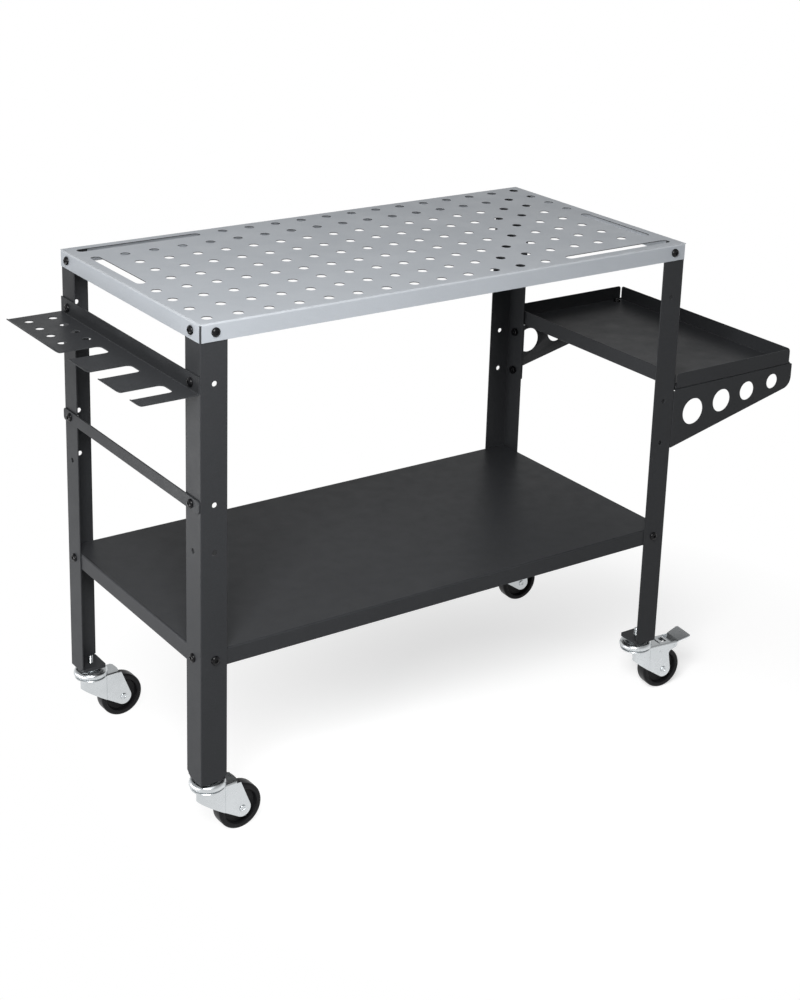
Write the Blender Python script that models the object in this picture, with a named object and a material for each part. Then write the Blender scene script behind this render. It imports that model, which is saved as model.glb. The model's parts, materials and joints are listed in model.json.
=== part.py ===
# Mobile welding table: a perforated top on four angle legs, with a lower shelf, a tool hanger,
# a crossbar, a side tray on brackets and four swivel casters, two of them with brake pedals.
# Metres, +Z up. +X points to the tray end, -Y to the front.

import math

import bmesh
import bpy
from mathutils import Matrix, Vector

# Fits
FIT_GAP = 0.0003          # between faces that touch
HOLE_SLACK = 0.0003       # least room round a shank, stem or pin in its hole

# Worktop
TOP_LENGTH = 0.9144
TOP_DEPTH = 0.4572
TOP_SHEET = 0.0012
TOP_FLANGE = 0.0273
EDGE_INSET = 0.0254       # from the top's edge to its outer holes, the bolts and the caster stems
HOLE_PITCH = 0.0508
HOLE_DIAMETER = 0.016
LONG_SLOT_PITCHES = 4     # a row slot takes the place of this many pitches
SHORT_SLOT_PITCHES = 3    # an end slot likewise
CORNER_SEAM = 0.0003      # opening left where two folded flanges meet

# Legs
LEG_LENGTH = 0.7252
LEG_WIDTH = 0.044
LEG_SHEET = 0.002
FOOT_PLATE = 0.006        # thick, since the caster's stem screws into it
FOOT_CUT_WIDTH = 0.006
FOOT_CUT_HEIGHT = 0.010

# Lower shelf
SHELF_DROP = 0.5085       # from the worktop's surface to the shelf's surface
SHELF_FLANGE = 0.027
SHELF_SHEET = 0.0015

# Bolts
BOLT_SHANK = 0.0078
BOLT_HEAD = 0.014
BOLT_HEAD_HEIGHT = 0.0042
BOLT_RIM_HEIGHT = 0.0012
BOLT_CROWN = 0.0075
NUT_WIDTH = 0.0145
NUT_HEIGHT = 0.0065

# Tool hanger at the left end
HANGER_DROP = 0.0905      # from the worktop's surface to the hanger's bolts
HANGER_FLANGE = 0.027
HANGER_SHEET = 0.002
HANGER_REACH = 0.0955
HANGER_LIP = 0.0018
HANGER_LIP_RUN = 0.004
HANGER_CORNER = 0.006
FINGER_SLOT_WIDTH = 0.0365
FINGER_SLOT_DEPTH = 0.070
FINGER_SLOT_COUNT = 3
FINGER_SLOT_CORNER = 0.008
END_FINGER = 0.028
RACK_WIDTH = 0.1885       # from the hanger's back edge to the nearest finger slot
RACK_HOLE_DIAMETER = 0.0145
RACK_HOLE_PITCH = 0.0405
RACK_HOLE_ROWS = 2
RACK_HOLE_COLUMNS = 4
RACK_HOLE_END = 0.027     # from the hanger's back edge to the first column
RACK_HOLE_EDGE = 0.0265   # from the hanger's outer edge to the first row

# Crossbar and tray bolts share a height on the legs
RAIL_DROP = 0.275
CROSSBAR_HEIGHT = 0.020
CROSSBAR_SHEET = 0.0025
CROSSBAR_CORNER = 0.005

# Tray brackets at the right end
BRACKET_DROP = 0.258      # from the worktop's surface to the bracket's ledge
BRACKET_SHEET = 0.002
BRACKET_REACH = 0.283
BRACKET_HEIGHT = 0.1057
BRACKET_END_HEIGHT = 0.0415
BRACKET_END_RADIUS = 0.020
BRACKET_LEDGE = 0.025
BRACKET_BOLT_PITCH = 0.075
BRACKET_HOLE_PLACES = (0.0475, 0.1145, 0.175, 0.236)
BRACKET_HOLE_DIAMETERS = (0.047, 0.041, 0.034, 0.027)

# Side tray
TRAY_SETBACK = 0.0052     # from the brackets' ends back to the tray's end
TRAY_WALL = 0.027
TRAY_SHEET = 0.0015
TRAY_SLIT = 0.0012
TRAY_BOLT_INSET = 0.021
TRAY_BOLT_SIDE = 0.013

# Casters
WHEEL_RADIUS = 0.0375
WHEEL_WIDTH = 0.024
WHEEL_SIDE_GAP = 0.0045
WHEEL_RIM = 0.008
WHEEL_RECESS = 0.005
WHEEL_SHOULDER = 0.002
WHEEL_SHOULDER_WIDTH = 0.003
HUB_RECESS = 0.003
AXLE_TRAIL = 0.0525
AXLE_RADIUS = 0.004
AXLE_HEAD_RADIUS = 0.0058
AXLE_HEAD = 0.0022
CASTER_HEIGHT = 0.1035    # floor to the underside of the foot plate
FORK_SHEET = 0.0025
FORK_CROWN = 0.0874       # floor to the fork's top face
FORK_BACK = 0.047         # swivel axis to the fork's back edge, at its top
FORK_END_RADIUS = 0.014
FORK_FRONT = 0.066        # floor to the lower edge of the fork's nose
RACE_RADIUS = 0.0285
RACE_TOP = 0.099
RACE_BOTTOM = 0.0838
RACE_ROUND = 0.004
STEM_RADIUS = 0.004
STEM_COLLAR_RADIUS = 0.015
STEM_END = 0.013          # how far the stem stands out above the foot plate
STEM_HEAD_RADIUS = 0.0085
STEM_HEAD = 0.004

# Rest turn of each caster about its stem, in degrees
CASTER_TURN = {
    "front_left": 2.0,
    "front_right": -7.0,
    "back_left": 1.0,
    "back_right": -3.0,
}
BRAKED = ("front_right", "back_right")

# Brake
ARM_BACK = 0.079          # swivel axis to the end of the fork's brake arms
ARM_END_HEIGHT = 0.0095
ARM_ROOT = 0.060
ARM_ROOT_HEIGHT = 0.017
CROWN_BACK = 0.066        # a braked fork's crown stops here, ahead of the pedal
PEDAL_PIVOT = 0.0725      # swivel axis to the pedal's pin
PEDAL_PIVOT_DROP = 0.006  # fork's top face down to the pedal's pin
PEDAL_PIN_RADIUS = 0.002
PEDAL_SHEET = 0.002
PEDAL_SIDE_GAP = 0.0025
PEDAL_ROOT = 0.009        # along the trail, pin to the pad's root
PEDAL_ROOT_RISE = 0.0065
PEDAL_PAD = 0.025
PEDAL_PAD_SLOPE = 17.0    # degrees
PEDAL_PAD_ROOT_WIDTH = 0.034
PEDAL_PAD_TIP_WIDTH = 0.043
PEDAL_PAD_CORNER = 0.003
PEDAL_TRAVEL = 15.0       # degrees, released to locked
BRAKE_GAP = 0.0008        # shoe to tread when locked

# Facets
HOLE_SIDES = 8
BIG_HOLE_SIDES = 16
BOLT_SIDES = 8
WHEEL_SIDES = 20
RACE_SIDES = 16
STEM_SIDES = 12
ARC_STEPS = 3
SMOOTH_ANGLE = math.radians(35)

CORNERS = {
    "front_left": (-1, -1),
    "front_right": (1, -1),
    "back_left": (-1, 1),
    "back_right": (1, 1),
}

# Places that the pieces share
LEG_BOTTOM = CASTER_HEIGHT
LEG_TOP = LEG_BOTTOM + LEG_LENGTH
TOP_UNDER = LEG_TOP + FIT_GAP
TABLE_TOP = TOP_UNDER + TOP_SHEET
LEG_X = TOP_LENGTH / 2 - TOP_SHEET - FIT_GAP
LEG_Y = TOP_DEPTH / 2 - TOP_SHEET - FIT_GAP
BOLT_X = TOP_LENGTH / 2 - EDGE_INSET
BOLT_Y = TOP_DEPTH / 2 - EDGE_INSET
OUTSIDE_LEG = LEG_X + FIT_GAP
BOLT_HOLE = BOLT_SHANK / 2 + HOLE_SLACK
TOP_BOLT_Z = TABLE_TOP - TOP_FLANGE / 2
HANGER_Z = TABLE_TOP - HANGER_DROP
RAIL_Z = TABLE_TOP - RAIL_DROP
LOWER_RAIL_Z = RAIL_Z - BRACKET_BOLT_PITCH
SHELF_TOP = TABLE_TOP - SHELF_DROP
SHELF_BOLT_Z = SHELF_TOP - SHELF_FLANGE / 2
LEG_HOLE_HEIGHTS = (TOP_BOLT_Z, HANGER_Z, RAIL_Z, LOWER_RAIL_Z, SHELF_BOLT_Z)
LEDGE_Z = TABLE_TOP - BRACKET_DROP
TRAY_BOTTOM = LEDGE_Z + FIT_GAP
TRAY_START = OUTSIDE_LEG + BRACKET_SHEET + FIT_GAP
TRAY_END = OUTSIDE_LEG + BRACKET_REACH - TRAY_SETBACK
FORK_HALF = WHEEL_WIDTH / 2 + WHEEL_SIDE_GAP + FORK_SHEET
FORK_INNER = FORK_HALF - FORK_SHEET
PEDAL_HALF = FORK_INNER - PEDAL_SIDE_GAP
CUT_MARGIN = 0.001        # how far a cut runs past the face it opens


# Outlines

def arc(centre, radius, start, end, steps=ARC_STEPS):
    turns = [start + (end - start) * i / steps for i in range(steps + 1)]
    return [(centre[0] + radius * math.cos(a), centre[1] + radius * math.sin(a)) for a in turns]


def circle(centre, radius, sides):
    # The flats, not the corners, lie at the radius, so a hole is never smaller than its size.
    corner = radius / math.cos(math.pi / sides)
    turns = [(i + 0.5) * 2 * math.pi / sides for i in range(sides)]
    return [(centre[0] + corner * math.cos(a), centre[1] + corner * math.sin(a)) for a in turns]


def rectangle(low, high):
    return [(low[0], low[1]), (high[0], low[1]), (high[0], high[1]), (low[0], high[1])]


def rounded_rectangle(low, high, radius):
    quarter = math.pi / 2
    centres = rectangle((low[0] + radius, low[1] + radius), (high[0] - radius, high[1] - radius))
    points = []
    for i, centre in enumerate(centres):
        points += arc(centre, radius, math.pi + i * quarter, math.pi + (i + 1) * quarter)
    return points


def slot(first, last, radius):
    # A straight slot with round ends, between two end centres.
    along = math.atan2(last[1] - first[1], last[0] - first[0])
    quarter = math.pi / 2
    steps = HOLE_SIDES // 2
    tip = arc(last, radius, along - quarter, along + quarter, steps)
    tail = arc(first, radius, along + quarter, along + 3 * quarter, steps)
    return tip + tail


def tangent_point(point, centre, radius, side):
    # Where a line from the point touches a circle, on its left (+1) or right (-1) side.
    offset = Vector(point) - Vector(centre)
    turn = math.atan2(offset.y, offset.x) + side * math.acos(radius / offset.length)
    return turn, (centre[0] + radius * math.cos(turn), centre[1] + radius * math.sin(turn))


def bent_strip(path, thickness):
    # A sheet of even thickness whose left side follows the path.
    inner = []
    for i, point in enumerate(path):
        here = Vector(point)
        before = (here - Vector(path[i - 1])).normalized() if i else None
        after = (Vector(path[i + 1]) - here).normalized() if i + 1 < len(path) else None
        if before is None or after is None:
            run = before or after
            shift = Vector((run.y, -run.x)) * thickness
        else:
            side = (Vector((before.y, -before.x)) + Vector((after.y, -after.x))).normalized()
            shift = side * thickness / side.dot(Vector((before.y, -before.x)))
        inner.append(tuple(here + shift))
    return list(path) + inner[::-1]


# Solids

AXIS_ORDER = {
    "X": lambda a, b, h: (h, a, b),
    "Y": lambda a, b, h: (a, h, b),
    "Z": lambda a, b, h: (a, b, h),
}


def add_prism(mesh, outline, axis, low, high):
    place = AXIS_ORDER[axis]
    bottom = [mesh.verts.new(place(a, b, low)) for a, b in outline]
    top = [mesh.verts.new(place(a, b, high)) for a, b in outline]
    faces = [mesh.faces.new(bottom[::-1]), mesh.faces.new(top)]
    for i in range(len(outline)):
        j = (i + 1) % len(outline)
        faces.append(mesh.faces.new((bottom[i], bottom[j], top[j], top[i])))
    return faces


def prisms(pieces):
    # Each piece is an outline, the axis it is drawn out along, and its two ends.
    mesh = bmesh.new()
    for outline, axis, low, high in pieces:
        add_prism(mesh, outline, axis, low, high)
    bmesh.ops.recalc_face_normals(mesh, faces=mesh.faces)
    return mesh


def box(low, high):
    return rectangle(low[:2], high[:2]), "Z", low[2], high[2]


def turned(profile, sides):
    # The wall of a solid of revolution about Z. A profile step is a radius and a height.
    mesh = bmesh.new()
    rings = []
    turns = [2 * math.pi * (i + 0.5) / sides for i in range(sides)]
    for radius, height in profile:
        ring = [mesh.verts.new((radius * math.cos(a), radius * math.sin(a), height)) for a in turns]
        rings.append(ring)
    for one, other in zip(rings, rings[1:]):
        for i in range(sides):
            j = (i + 1) % sides
            mesh.faces.new((one[i], one[j], other[j], other[i]))
    return mesh, rings


def turned_solid(profile, sides):
    mesh, rings = turned(profile, sides)
    mesh.faces.new(rings[0])
    mesh.faces.new(rings[-1])
    bmesh.ops.recalc_face_normals(mesh, faces=mesh.faces)
    return mesh


def turned_ring(profile, sides):
    mesh, _ = turned(list(profile) + [profile[0]], sides)
    bmesh.ops.remove_doubles(mesh, verts=mesh.verts, dist=1e-7)
    bmesh.ops.recalc_face_normals(mesh, faces=mesh.faces)
    return mesh


def mesh_data(name, solid):
    data = bpy.data.meshes.new(name)
    solid.to_mesh(data)
    solid.free()
    return data


def combine(target, tool_solid, operation):
    # Cuts, joins or crosses the target with a tool that is then thrown away.
    tool = bpy.data.objects.new("tool", mesh_data("tool", tool_solid))
    bpy.context.scene.collection.objects.link(tool)
    tool.parent = target.parent
    step = target.modifiers.new("step", "BOOLEAN")
    step.operation = operation
    step.object = tool
    step.solver = "EXACT"
    graph = bpy.context.evaluated_depsgraph_get()
    result = bpy.data.meshes.new_from_object(target.evaluated_get(graph))
    target.modifiers.remove(step)
    old = target.data
    result.name = old.name
    target.data = result
    bpy.data.meshes.remove(old)
    bpy.data.objects.remove(tool)


def cut(target, pieces):
    combine(target, prisms(pieces), "DIFFERENCE")


# Scene objects and finishes

def clear_scene():
    for item in list(bpy.data.objects):
        bpy.data.objects.remove(item, do_unlink=True)


def finish(name, colour, metallic, roughness):
    material = bpy.data.materials.new(name)
    material.use_nodes = True
    shader = material.node_tree.nodes["Principled BSDF"]
    shader.inputs["Base Color"].default_value = (*colour, 1.0)
    shader.inputs["Metallic"].default_value = metallic
    shader.inputs["Roughness"].default_value = roughness
    return material


def empty(name, parent, location, turn=0.0):
    guide = bpy.data.objects.new(name, None)
    bpy.context.scene.collection.objects.link(guide)
    guide.parent = parent
    guide.location = location
    guide.rotation_euler = (0.0, 0.0, turn)
    return guide


def piece(name, solid, material, parent, location=(0, 0, 0)):
    data = mesh_data(name, solid)
    data.materials.append(material)
    item = bpy.data.objects.new(name, data)
    bpy.context.scene.collection.objects.link(item)
    item.parent = parent
    item.location = location
    return item


def shade(items):
    for item in items:
        item.data.shade_smooth()
        item.data.set_sharp_from_angle(angle=SMOOTH_ANGLE)


# Worktop

def grid_places(length):
    count = round((length - 2 * EDGE_INSET) / HOLE_PITCH) + 1
    return [(i - (count - 1) / 2) * HOLE_PITCH for i in range(count)]


def worktop_slots(columns, rows):
    # Four slots, alike under a half turn: two along the long edges, two along the ends.
    long_ends = (columns[0], columns[LONG_SLOT_PITCHES])
    short_ends = (rows[-2 - SHORT_SLOT_PITCHES], rows[-2])
    spans = []
    for sign in (1, -1):
        spans.append(((sign * long_ends[0], sign * rows[-1]), (sign * long_ends[1], sign * rows[-1])))
        spans.append(((sign * columns[0], sign * short_ends[0]), (sign * columns[0], sign * short_ends[1])))
    return spans


def in_slot(x, y, spans):
    for first, last in spans:
        inside_x = min(first[0], last[0]) - FIT_GAP < x < max(first[0], last[0]) + FIT_GAP
        inside_y = min(first[1], last[1]) - FIT_GAP < y < max(first[1], last[1]) + FIT_GAP
        if inside_x and inside_y:
            return True
    return False


def folded_pan(name, half_x, half_y, face, flange, sheet, opens_down, material, parent):
    # A flat sheet with four folded edges, open at the bottom or at the top.
    low, high = (face - flange, face) if opens_down else (face, face + flange)
    pan = piece(name, prisms([box((-half_x, -half_y, low), (half_x, half_y, high))]), material, parent)
    inner = (half_x - sheet, half_y - sheet)
    if opens_down:
        hollow = box((-inner[0], -inner[1], low - CUT_MARGIN), (*inner, face - sheet))
    else:
        hollow = box((-inner[0], -inner[1], face + sheet), (*inner, high + CUT_MARGIN))
    cut(pan, [hollow])
    return pan


def corner_cuts(half_x, half_y, size, low, high):
    cuts = []
    for sx, sy in CORNERS.values():
        xs = sorted((sx * (half_x - size), sx * (half_x + CUT_MARGIN)))
        ys = sorted((sy * (half_y - size), sy * (half_y + CUT_MARGIN)))
        cuts.append(box((xs[0], ys[0], low), (xs[1], ys[1], high)))
    return cuts


def flange_holes(half_x, half_y, sheet, height):
    # Two bolt holes at each corner, one through each flange.
    holes = []
    for sx, sy in CORNERS.values():
        xs = sorted((sx * (half_x - sheet - CUT_MARGIN), sx * (half_x + CUT_MARGIN)))
        ys = sorted((sy * (half_y - sheet - CUT_MARGIN), sy * (half_y + CUT_MARGIN)))
        holes.append((circle((sy * BOLT_Y, height), BOLT_HOLE, HOLE_SIDES), "X", *xs))
        holes.append((circle((sx * BOLT_X, height), BOLT_HOLE, HOLE_SIDES), "Y", *ys))
    return holes


def make_worktop(material, parent):
    half_x, half_y = TOP_LENGTH / 2, TOP_DEPTH / 2
    top = folded_pan("worktop", half_x, half_y, TABLE_TOP, TOP_FLANGE, TOP_SHEET, True, material, parent)
    columns, rows = grid_places(TOP_LENGTH), grid_places(TOP_DEPTH)
    spans = worktop_slots(columns, rows)
    low, high = TOP_UNDER - CUT_MARGIN, TABLE_TOP + CUT_MARGIN
    radius = HOLE_DIAMETER / 2
    openings = [(slot(first, last, radius), "Z", low, high) for first, last in spans]
    for x in columns:
        for y in rows:
            if not in_slot(x, y, spans):
                openings.append((circle((x, y), radius, HOLE_SIDES), "Z", low, high))
    cut(top, openings)
    seam = TOP_SHEET + CORNER_SEAM
    seams = corner_cuts(half_x, half_y, seam, TABLE_TOP - TOP_FLANGE - CUT_MARGIN, TOP_UNDER)
    cut(top, seams + flange_holes(half_x, half_y, TOP_SHEET, TOP_BOLT_Z))
    return top


# Legs

def leg_solid(sx, sy):
    # An angle with a foot plate across its lower end, drawn from its outer corner inwards.
    w, t = LEG_WIDTH, LEG_SHEET
    outer = [(0, 0), (w, 0), (w, t), (w, w), (t, w), (0, w)]
    angle = [(0, 0), (w, 0), (w, t), (t, t), (t, w), (0, w)]
    mesh = bmesh.new()

    def level(points, z):
        return {p: mesh.verts.new((sx * (LEG_X - p[0]), sy * (LEG_Y - p[1]), z)) for p in points}

    base = level(outer, LEG_BOTTOM)
    plate = level(sorted(set(outer + angle)), LEG_BOTTOM + FOOT_PLATE)
    head = level(angle, LEG_TOP)

    def walls(loop, lower, upper):
        for p, q in zip(loop, loop[1:] + loop[:1]):
            mesh.faces.new((lower[p], lower[q], upper[q], upper[p]))

    mesh.faces.new([base[p] for p in outer])
    walls(outer, base, plate)
    mesh.faces.new([plate[p] for p in ((w, t), (w, w), (t, w), (t, t))])
    walls(angle, plate, head)
    mesh.faces.new([head[p] for p in angle])
    bmesh.ops.recalc_face_normals(mesh, faces=mesh.faces)
    return mesh


def leg_holes(sx, sy):
    xs = sorted((sx * (LEG_X + CUT_MARGIN), sx * (LEG_X - LEG_SHEET - CUT_MARGIN)))
    ys = sorted((sy * (LEG_Y + CUT_MARGIN), sy * (LEG_Y - LEG_SHEET - CUT_MARGIN)))
    holes = []
    for height in LEG_HOLE_HEIGHTS:
        holes.append((circle((sy * BOLT_Y, height), BOLT_HOLE, HOLE_SIDES), "X", *xs))
        holes.append((circle((sx * BOLT_X, height), BOLT_HOLE, HOLE_SIDES), "Y", *ys))
    plate = (LEG_BOTTOM - CUT_MARGIN, LEG_BOTTOM + FOOT_PLATE + CUT_MARGIN)
    stem = STEM_RADIUS + HOLE_SLACK
    holes.append((circle((sx * BOLT_X, sy * BOLT_Y), stem, STEM_SIDES), "Z", *plate))
    return holes


def foot_cuts(sx, sy):
    # The free lower corner of each flange is cut back above the caster.
    cuts = []
    for sign, face, other, other_sign, axis in ((sx, LEG_X, LEG_Y, sy, "Y"), (sy, LEG_Y, LEG_X, sx, "X")):
        edge = sign * (face - LEG_WIDTH)
        triangle = [
            (edge - sign * CUT_MARGIN, LEG_BOTTOM - CUT_MARGIN),
            (edge + sign * FOOT_CUT_WIDTH, LEG_BOTTOM - CUT_MARGIN),
            (edge - sign * CUT_MARGIN, LEG_BOTTOM + FOOT_CUT_HEIGHT),
        ]
        span = sorted((other_sign * (other + CUT_MARGIN), other_sign * (other - LEG_SHEET - FIT_GAP)))
        cuts.append((triangle, axis, *span))
    return cuts


def make_legs(material, parent):
    for name, (sx, sy) in CORNERS.items():
        leg = piece("leg_" + name, leg_solid(sx, sy), material, parent)
        cut(leg, leg_holes(sx, sy))
        cut(leg, foot_cuts(sx, sy))


# Lower shelf

def make_shelf(material, parent):
    half_x = LEG_X - LEG_SHEET - FIT_GAP
    half_y = LEG_Y - LEG_SHEET - FIT_GAP
    size = (half_x, half_y, SHELF_TOP, SHELF_FLANGE, SHELF_SHEET)
    shelf = folded_pan("lower_shelf", *size, True, material, parent)
    cut(shelf, flange_holes(half_x, half_y, SHELF_SHEET, SHELF_BOLT_Z))


# Left end: tool hanger and crossbar

def left_bolt_holes(height, sheet):
    span = (-OUTSIDE_LEG - sheet - CUT_MARGIN, -OUTSIDE_LEG + CUT_MARGIN)
    return [(circle((sy * BOLT_Y, height), BOLT_HOLE, HOLE_SIDES), "X", *span) for sy in (-1, 1)]


def finger_slot_edges():
    # Near edges of the finger slots, spread evenly between the end finger and the rack.
    first = -LEG_Y + END_FINGER
    last = LEG_Y - RACK_WIDTH - FINGER_SLOT_WIDTH
    pitch = (last - first) / (FINGER_SLOT_COUNT - 1)
    return [first + i * pitch for i in range(FINGER_SLOT_COUNT)]


def hanger_slots(outer_x, low, high):
    slots = []
    for near in finger_slot_edges():
        corner_low = (outer_x - FINGER_SLOT_CORNER - CUT_MARGIN, near)
        corner_high = (outer_x + FINGER_SLOT_DEPTH, near + FINGER_SLOT_WIDTH)
        slots.append((rounded_rectangle(corner_low, corner_high, FINGER_SLOT_CORNER), "Z", low, high))
    return slots


def rack_holes(outer_x, low, high):
    holes = []
    for row in range(RACK_HOLE_ROWS):
        for column in range(RACK_HOLE_COLUMNS):
            x = outer_x + RACK_HOLE_EDGE + row * RACK_HOLE_PITCH
            y = LEG_Y - RACK_HOLE_END - column * RACK_HOLE_PITCH
            holes.append((circle((x, y), RACK_HOLE_DIAMETER / 2, HOLE_SIDES), "Z", low, high))
    return holes


def finger_corner_cuts(outer_x, low, high):
    # The near outer corner of each finger is cut off at a slant.
    cuts = []
    edges = [-LEG_Y] + [near + FINGER_SLOT_WIDTH for near in finger_slot_edges()]
    for y in edges:
        triangle = [
            (outer_x - CUT_MARGIN, y - CUT_MARGIN),
            (outer_x + HANGER_CORNER, y - CUT_MARGIN),
            (outer_x - CUT_MARGIN, y + HANGER_CORNER),
        ]
        cuts.append((triangle, "Z", low, high))
    return cuts


def make_hanger(material, parent):
    flange_top = HANGER_Z + HANGER_FLANGE / 2
    plate_under = HANGER_Z - HANGER_FLANGE / 2
    outer_x = -OUTSIDE_LEG - HANGER_REACH
    path = [
        (-OUTSIDE_LEG, flange_top),
        (-OUTSIDE_LEG, plate_under),
        (outer_x + HANGER_LIP_RUN, plate_under),
        (outer_x, plate_under + HANGER_LIP),
    ]
    section = bent_strip(path, HANGER_SHEET)
    hanger = piece("tool_hanger", prisms([(section, "Y", -LEG_Y, LEG_Y)]), material, parent)
    low, high = plate_under - CUT_MARGIN, plate_under + HANGER_LIP + HANGER_SHEET + CUT_MARGIN
    cut(hanger, hanger_slots(outer_x, low, high) + rack_holes(outer_x, low, high))
    cut(hanger, finger_corner_cuts(outer_x, low, high))
    cut(hanger, left_bolt_holes(HANGER_Z, HANGER_SHEET))


def make_crossbar(material, parent):
    low = (-LEG_Y, RAIL_Z - CROSSBAR_HEIGHT / 2)
    high = (LEG_Y, RAIL_Z + CROSSBAR_HEIGHT / 2)
    outline = rounded_rectangle(low, high, CROSSBAR_CORNER)
    span = (-OUTSIDE_LEG - CROSSBAR_SHEET, -OUTSIDE_LEG)
    bar = piece("crossbar", prisms([(outline, "X", *span)]), material, parent)
    cut(bar, left_bolt_holes(RAIL_Z, CROSSBAR_SHEET))


# Right end: tray and its brackets

def bracket_lower_edge(reach):
    # Height of the bracket's slanting lower edge at a distance from the leg.
    slope = (BRACKET_HEIGHT - BRACKET_END_HEIGHT) / BRACKET_REACH
    return LEDGE_Z - BRACKET_HEIGHT + slope * reach


def bracket_outline():
    # The side plate, with the lower outer corner rounded between the slant and the upright end.
    start, end = OUTSIDE_LEG, OUTSIDE_LEG + BRACKET_REACH
    slant = math.atan2(BRACKET_HEIGHT - BRACKET_END_HEIGHT, BRACKET_REACH)
    radius = BRACKET_END_RADIUS
    centre_x = end - radius
    centre_z = bracket_lower_edge(BRACKET_REACH - radius) + radius / math.cos(slant)
    nose = arc((centre_x, centre_z), radius, slant - math.pi / 2, 0.0, 2 * ARC_STEPS)
    return [(start, bracket_lower_edge(0.0))] + nose + [(end, LEDGE_Z), (start, LEDGE_Z)]


def bracket_holes(span):
    holes = []
    for reach, diameter in zip(BRACKET_HOLE_PLACES, BRACKET_HOLE_DIAMETERS):
        middle = (bracket_lower_edge(reach) + LEDGE_Z) / 2
        holes.append((circle((OUTSIDE_LEG + reach, middle), diameter / 2, BIG_HOLE_SIDES), "Y", *span))
    return holes


def tray_bolt_places():
    ends = (TRAY_START + TRAY_BOLT_INSET, TRAY_END - TRAY_BOLT_INSET)
    return [(x, sy * (LEG_Y - TRAY_BOLT_SIDE)) for sy in (-1, 1) for x in ends]


def make_bracket(name, sy, material, parent):
    t = BRACKET_SHEET
    face = (sy * LEG_Y, sy * (LEG_Y - LEG_WIDTH))
    bracket = piece(name, prisms([(bracket_outline(), "Y", *sorted(face))]), material, parent)
    far = OUTSIDE_LEG + BRACKET_REACH + CUT_MARGIN
    floor = LEDGE_Z - BRACKET_HEIGHT - CUT_MARGIN
    inner = sorted((sy * (LEG_Y - t), sy * (LEG_Y - LEG_WIDTH - CUT_MARGIN)))
    cut(bracket, [box((OUTSIDE_LEG + t, inner[0], floor), (far, inner[1], LEDGE_Z - t))])
    beyond = sorted((sy * (LEG_Y - BRACKET_LEDGE), sy * (LEG_Y - LEG_WIDTH - CUT_MARGIN)))
    ledge_low = LEDGE_Z - t - CUT_MARGIN
    cut(bracket, [box((OUTSIDE_LEG + t, beyond[0], ledge_low), (far, beyond[1], LEDGE_Z + CUT_MARGIN))])
    plate = sorted((sy * (LEG_Y + CUT_MARGIN), sy * (LEG_Y - t - CUT_MARGIN)))
    holes = bracket_holes(plate)
    leg_side = (OUTSIDE_LEG - CUT_MARGIN, OUTSIDE_LEG + t + CUT_MARGIN)
    for height in (RAIL_Z, LOWER_RAIL_Z):
        holes.append((circle((sy * BOLT_Y, height), BOLT_HOLE, HOLE_SIDES), "X", *leg_side))
    for x, y in tray_bolt_places():
        if y * sy > 0:
            ledge = (LEDGE_Z - t - CUT_MARGIN, LEDGE_Z + CUT_MARGIN)
            holes.append((circle((x, y), BOLT_HOLE, HOLE_SIDES), "Z", *ledge))
    cut(bracket, holes)


def make_tray(material, parent):
    half_x, half_y = (TRAY_END - TRAY_START) / 2, LEG_Y
    middle = (TRAY_START + TRAY_END) / 2
    size = (half_x, half_y, TRAY_BOTTOM, TRAY_WALL, TRAY_SHEET)
    tray = folded_pan("side_tray", *size, False, material, parent)
    tray.data.transform(Matrix.Translation((middle, 0, 0)))
    low, high = TRAY_BOTTOM + TRAY_SHEET + TRAY_SLIT, TRAY_BOTTOM + TRAY_WALL + CUT_MARGIN
    openings = []
    for outline, axis, bottom, top in corner_cuts(half_x, half_y, TRAY_SHEET + TRAY_SLIT, low, high):
        openings.append(([(x + middle, y) for x, y in outline], axis, bottom, top))
    floor = (TRAY_BOTTOM - CUT_MARGIN, TRAY_BOTTOM + TRAY_SHEET + CUT_MARGIN)
    for place in tray_bolt_places():
        openings.append((circle(place, BOLT_HOLE, HOLE_SIDES), "Z", *floor))
    cut(tray, openings)


# Bolts, each with its nut, drawn with the head's seat at the origin and the head along +Z

def bolt_solid(grip):
    seat = FIT_GAP
    nut_top = -grip - FIT_GAP
    return turned_solid(
        [
            (BOLT_CROWN / 2, seat + BOLT_HEAD_HEIGHT),
            (BOLT_HEAD / 2, seat + BOLT_RIM_HEIGHT),
            (BOLT_HEAD / 2, seat),
            (BOLT_SHANK / 2, seat),
            (BOLT_SHANK / 2, nut_top),
            (NUT_WIDTH / 2, nut_top),
            (NUT_WIDTH / 2, nut_top - NUT_HEIGHT),
        ],
        BOLT_SIDES,
    )


def add_bolt(name, place, outward, grip, material, parent):
    bolt = piece(name, bolt_solid(grip), material, parent, place)
    bolt.rotation_euler = Vector(outward).to_track_quat("Z", "Y").to_euler()


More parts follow.
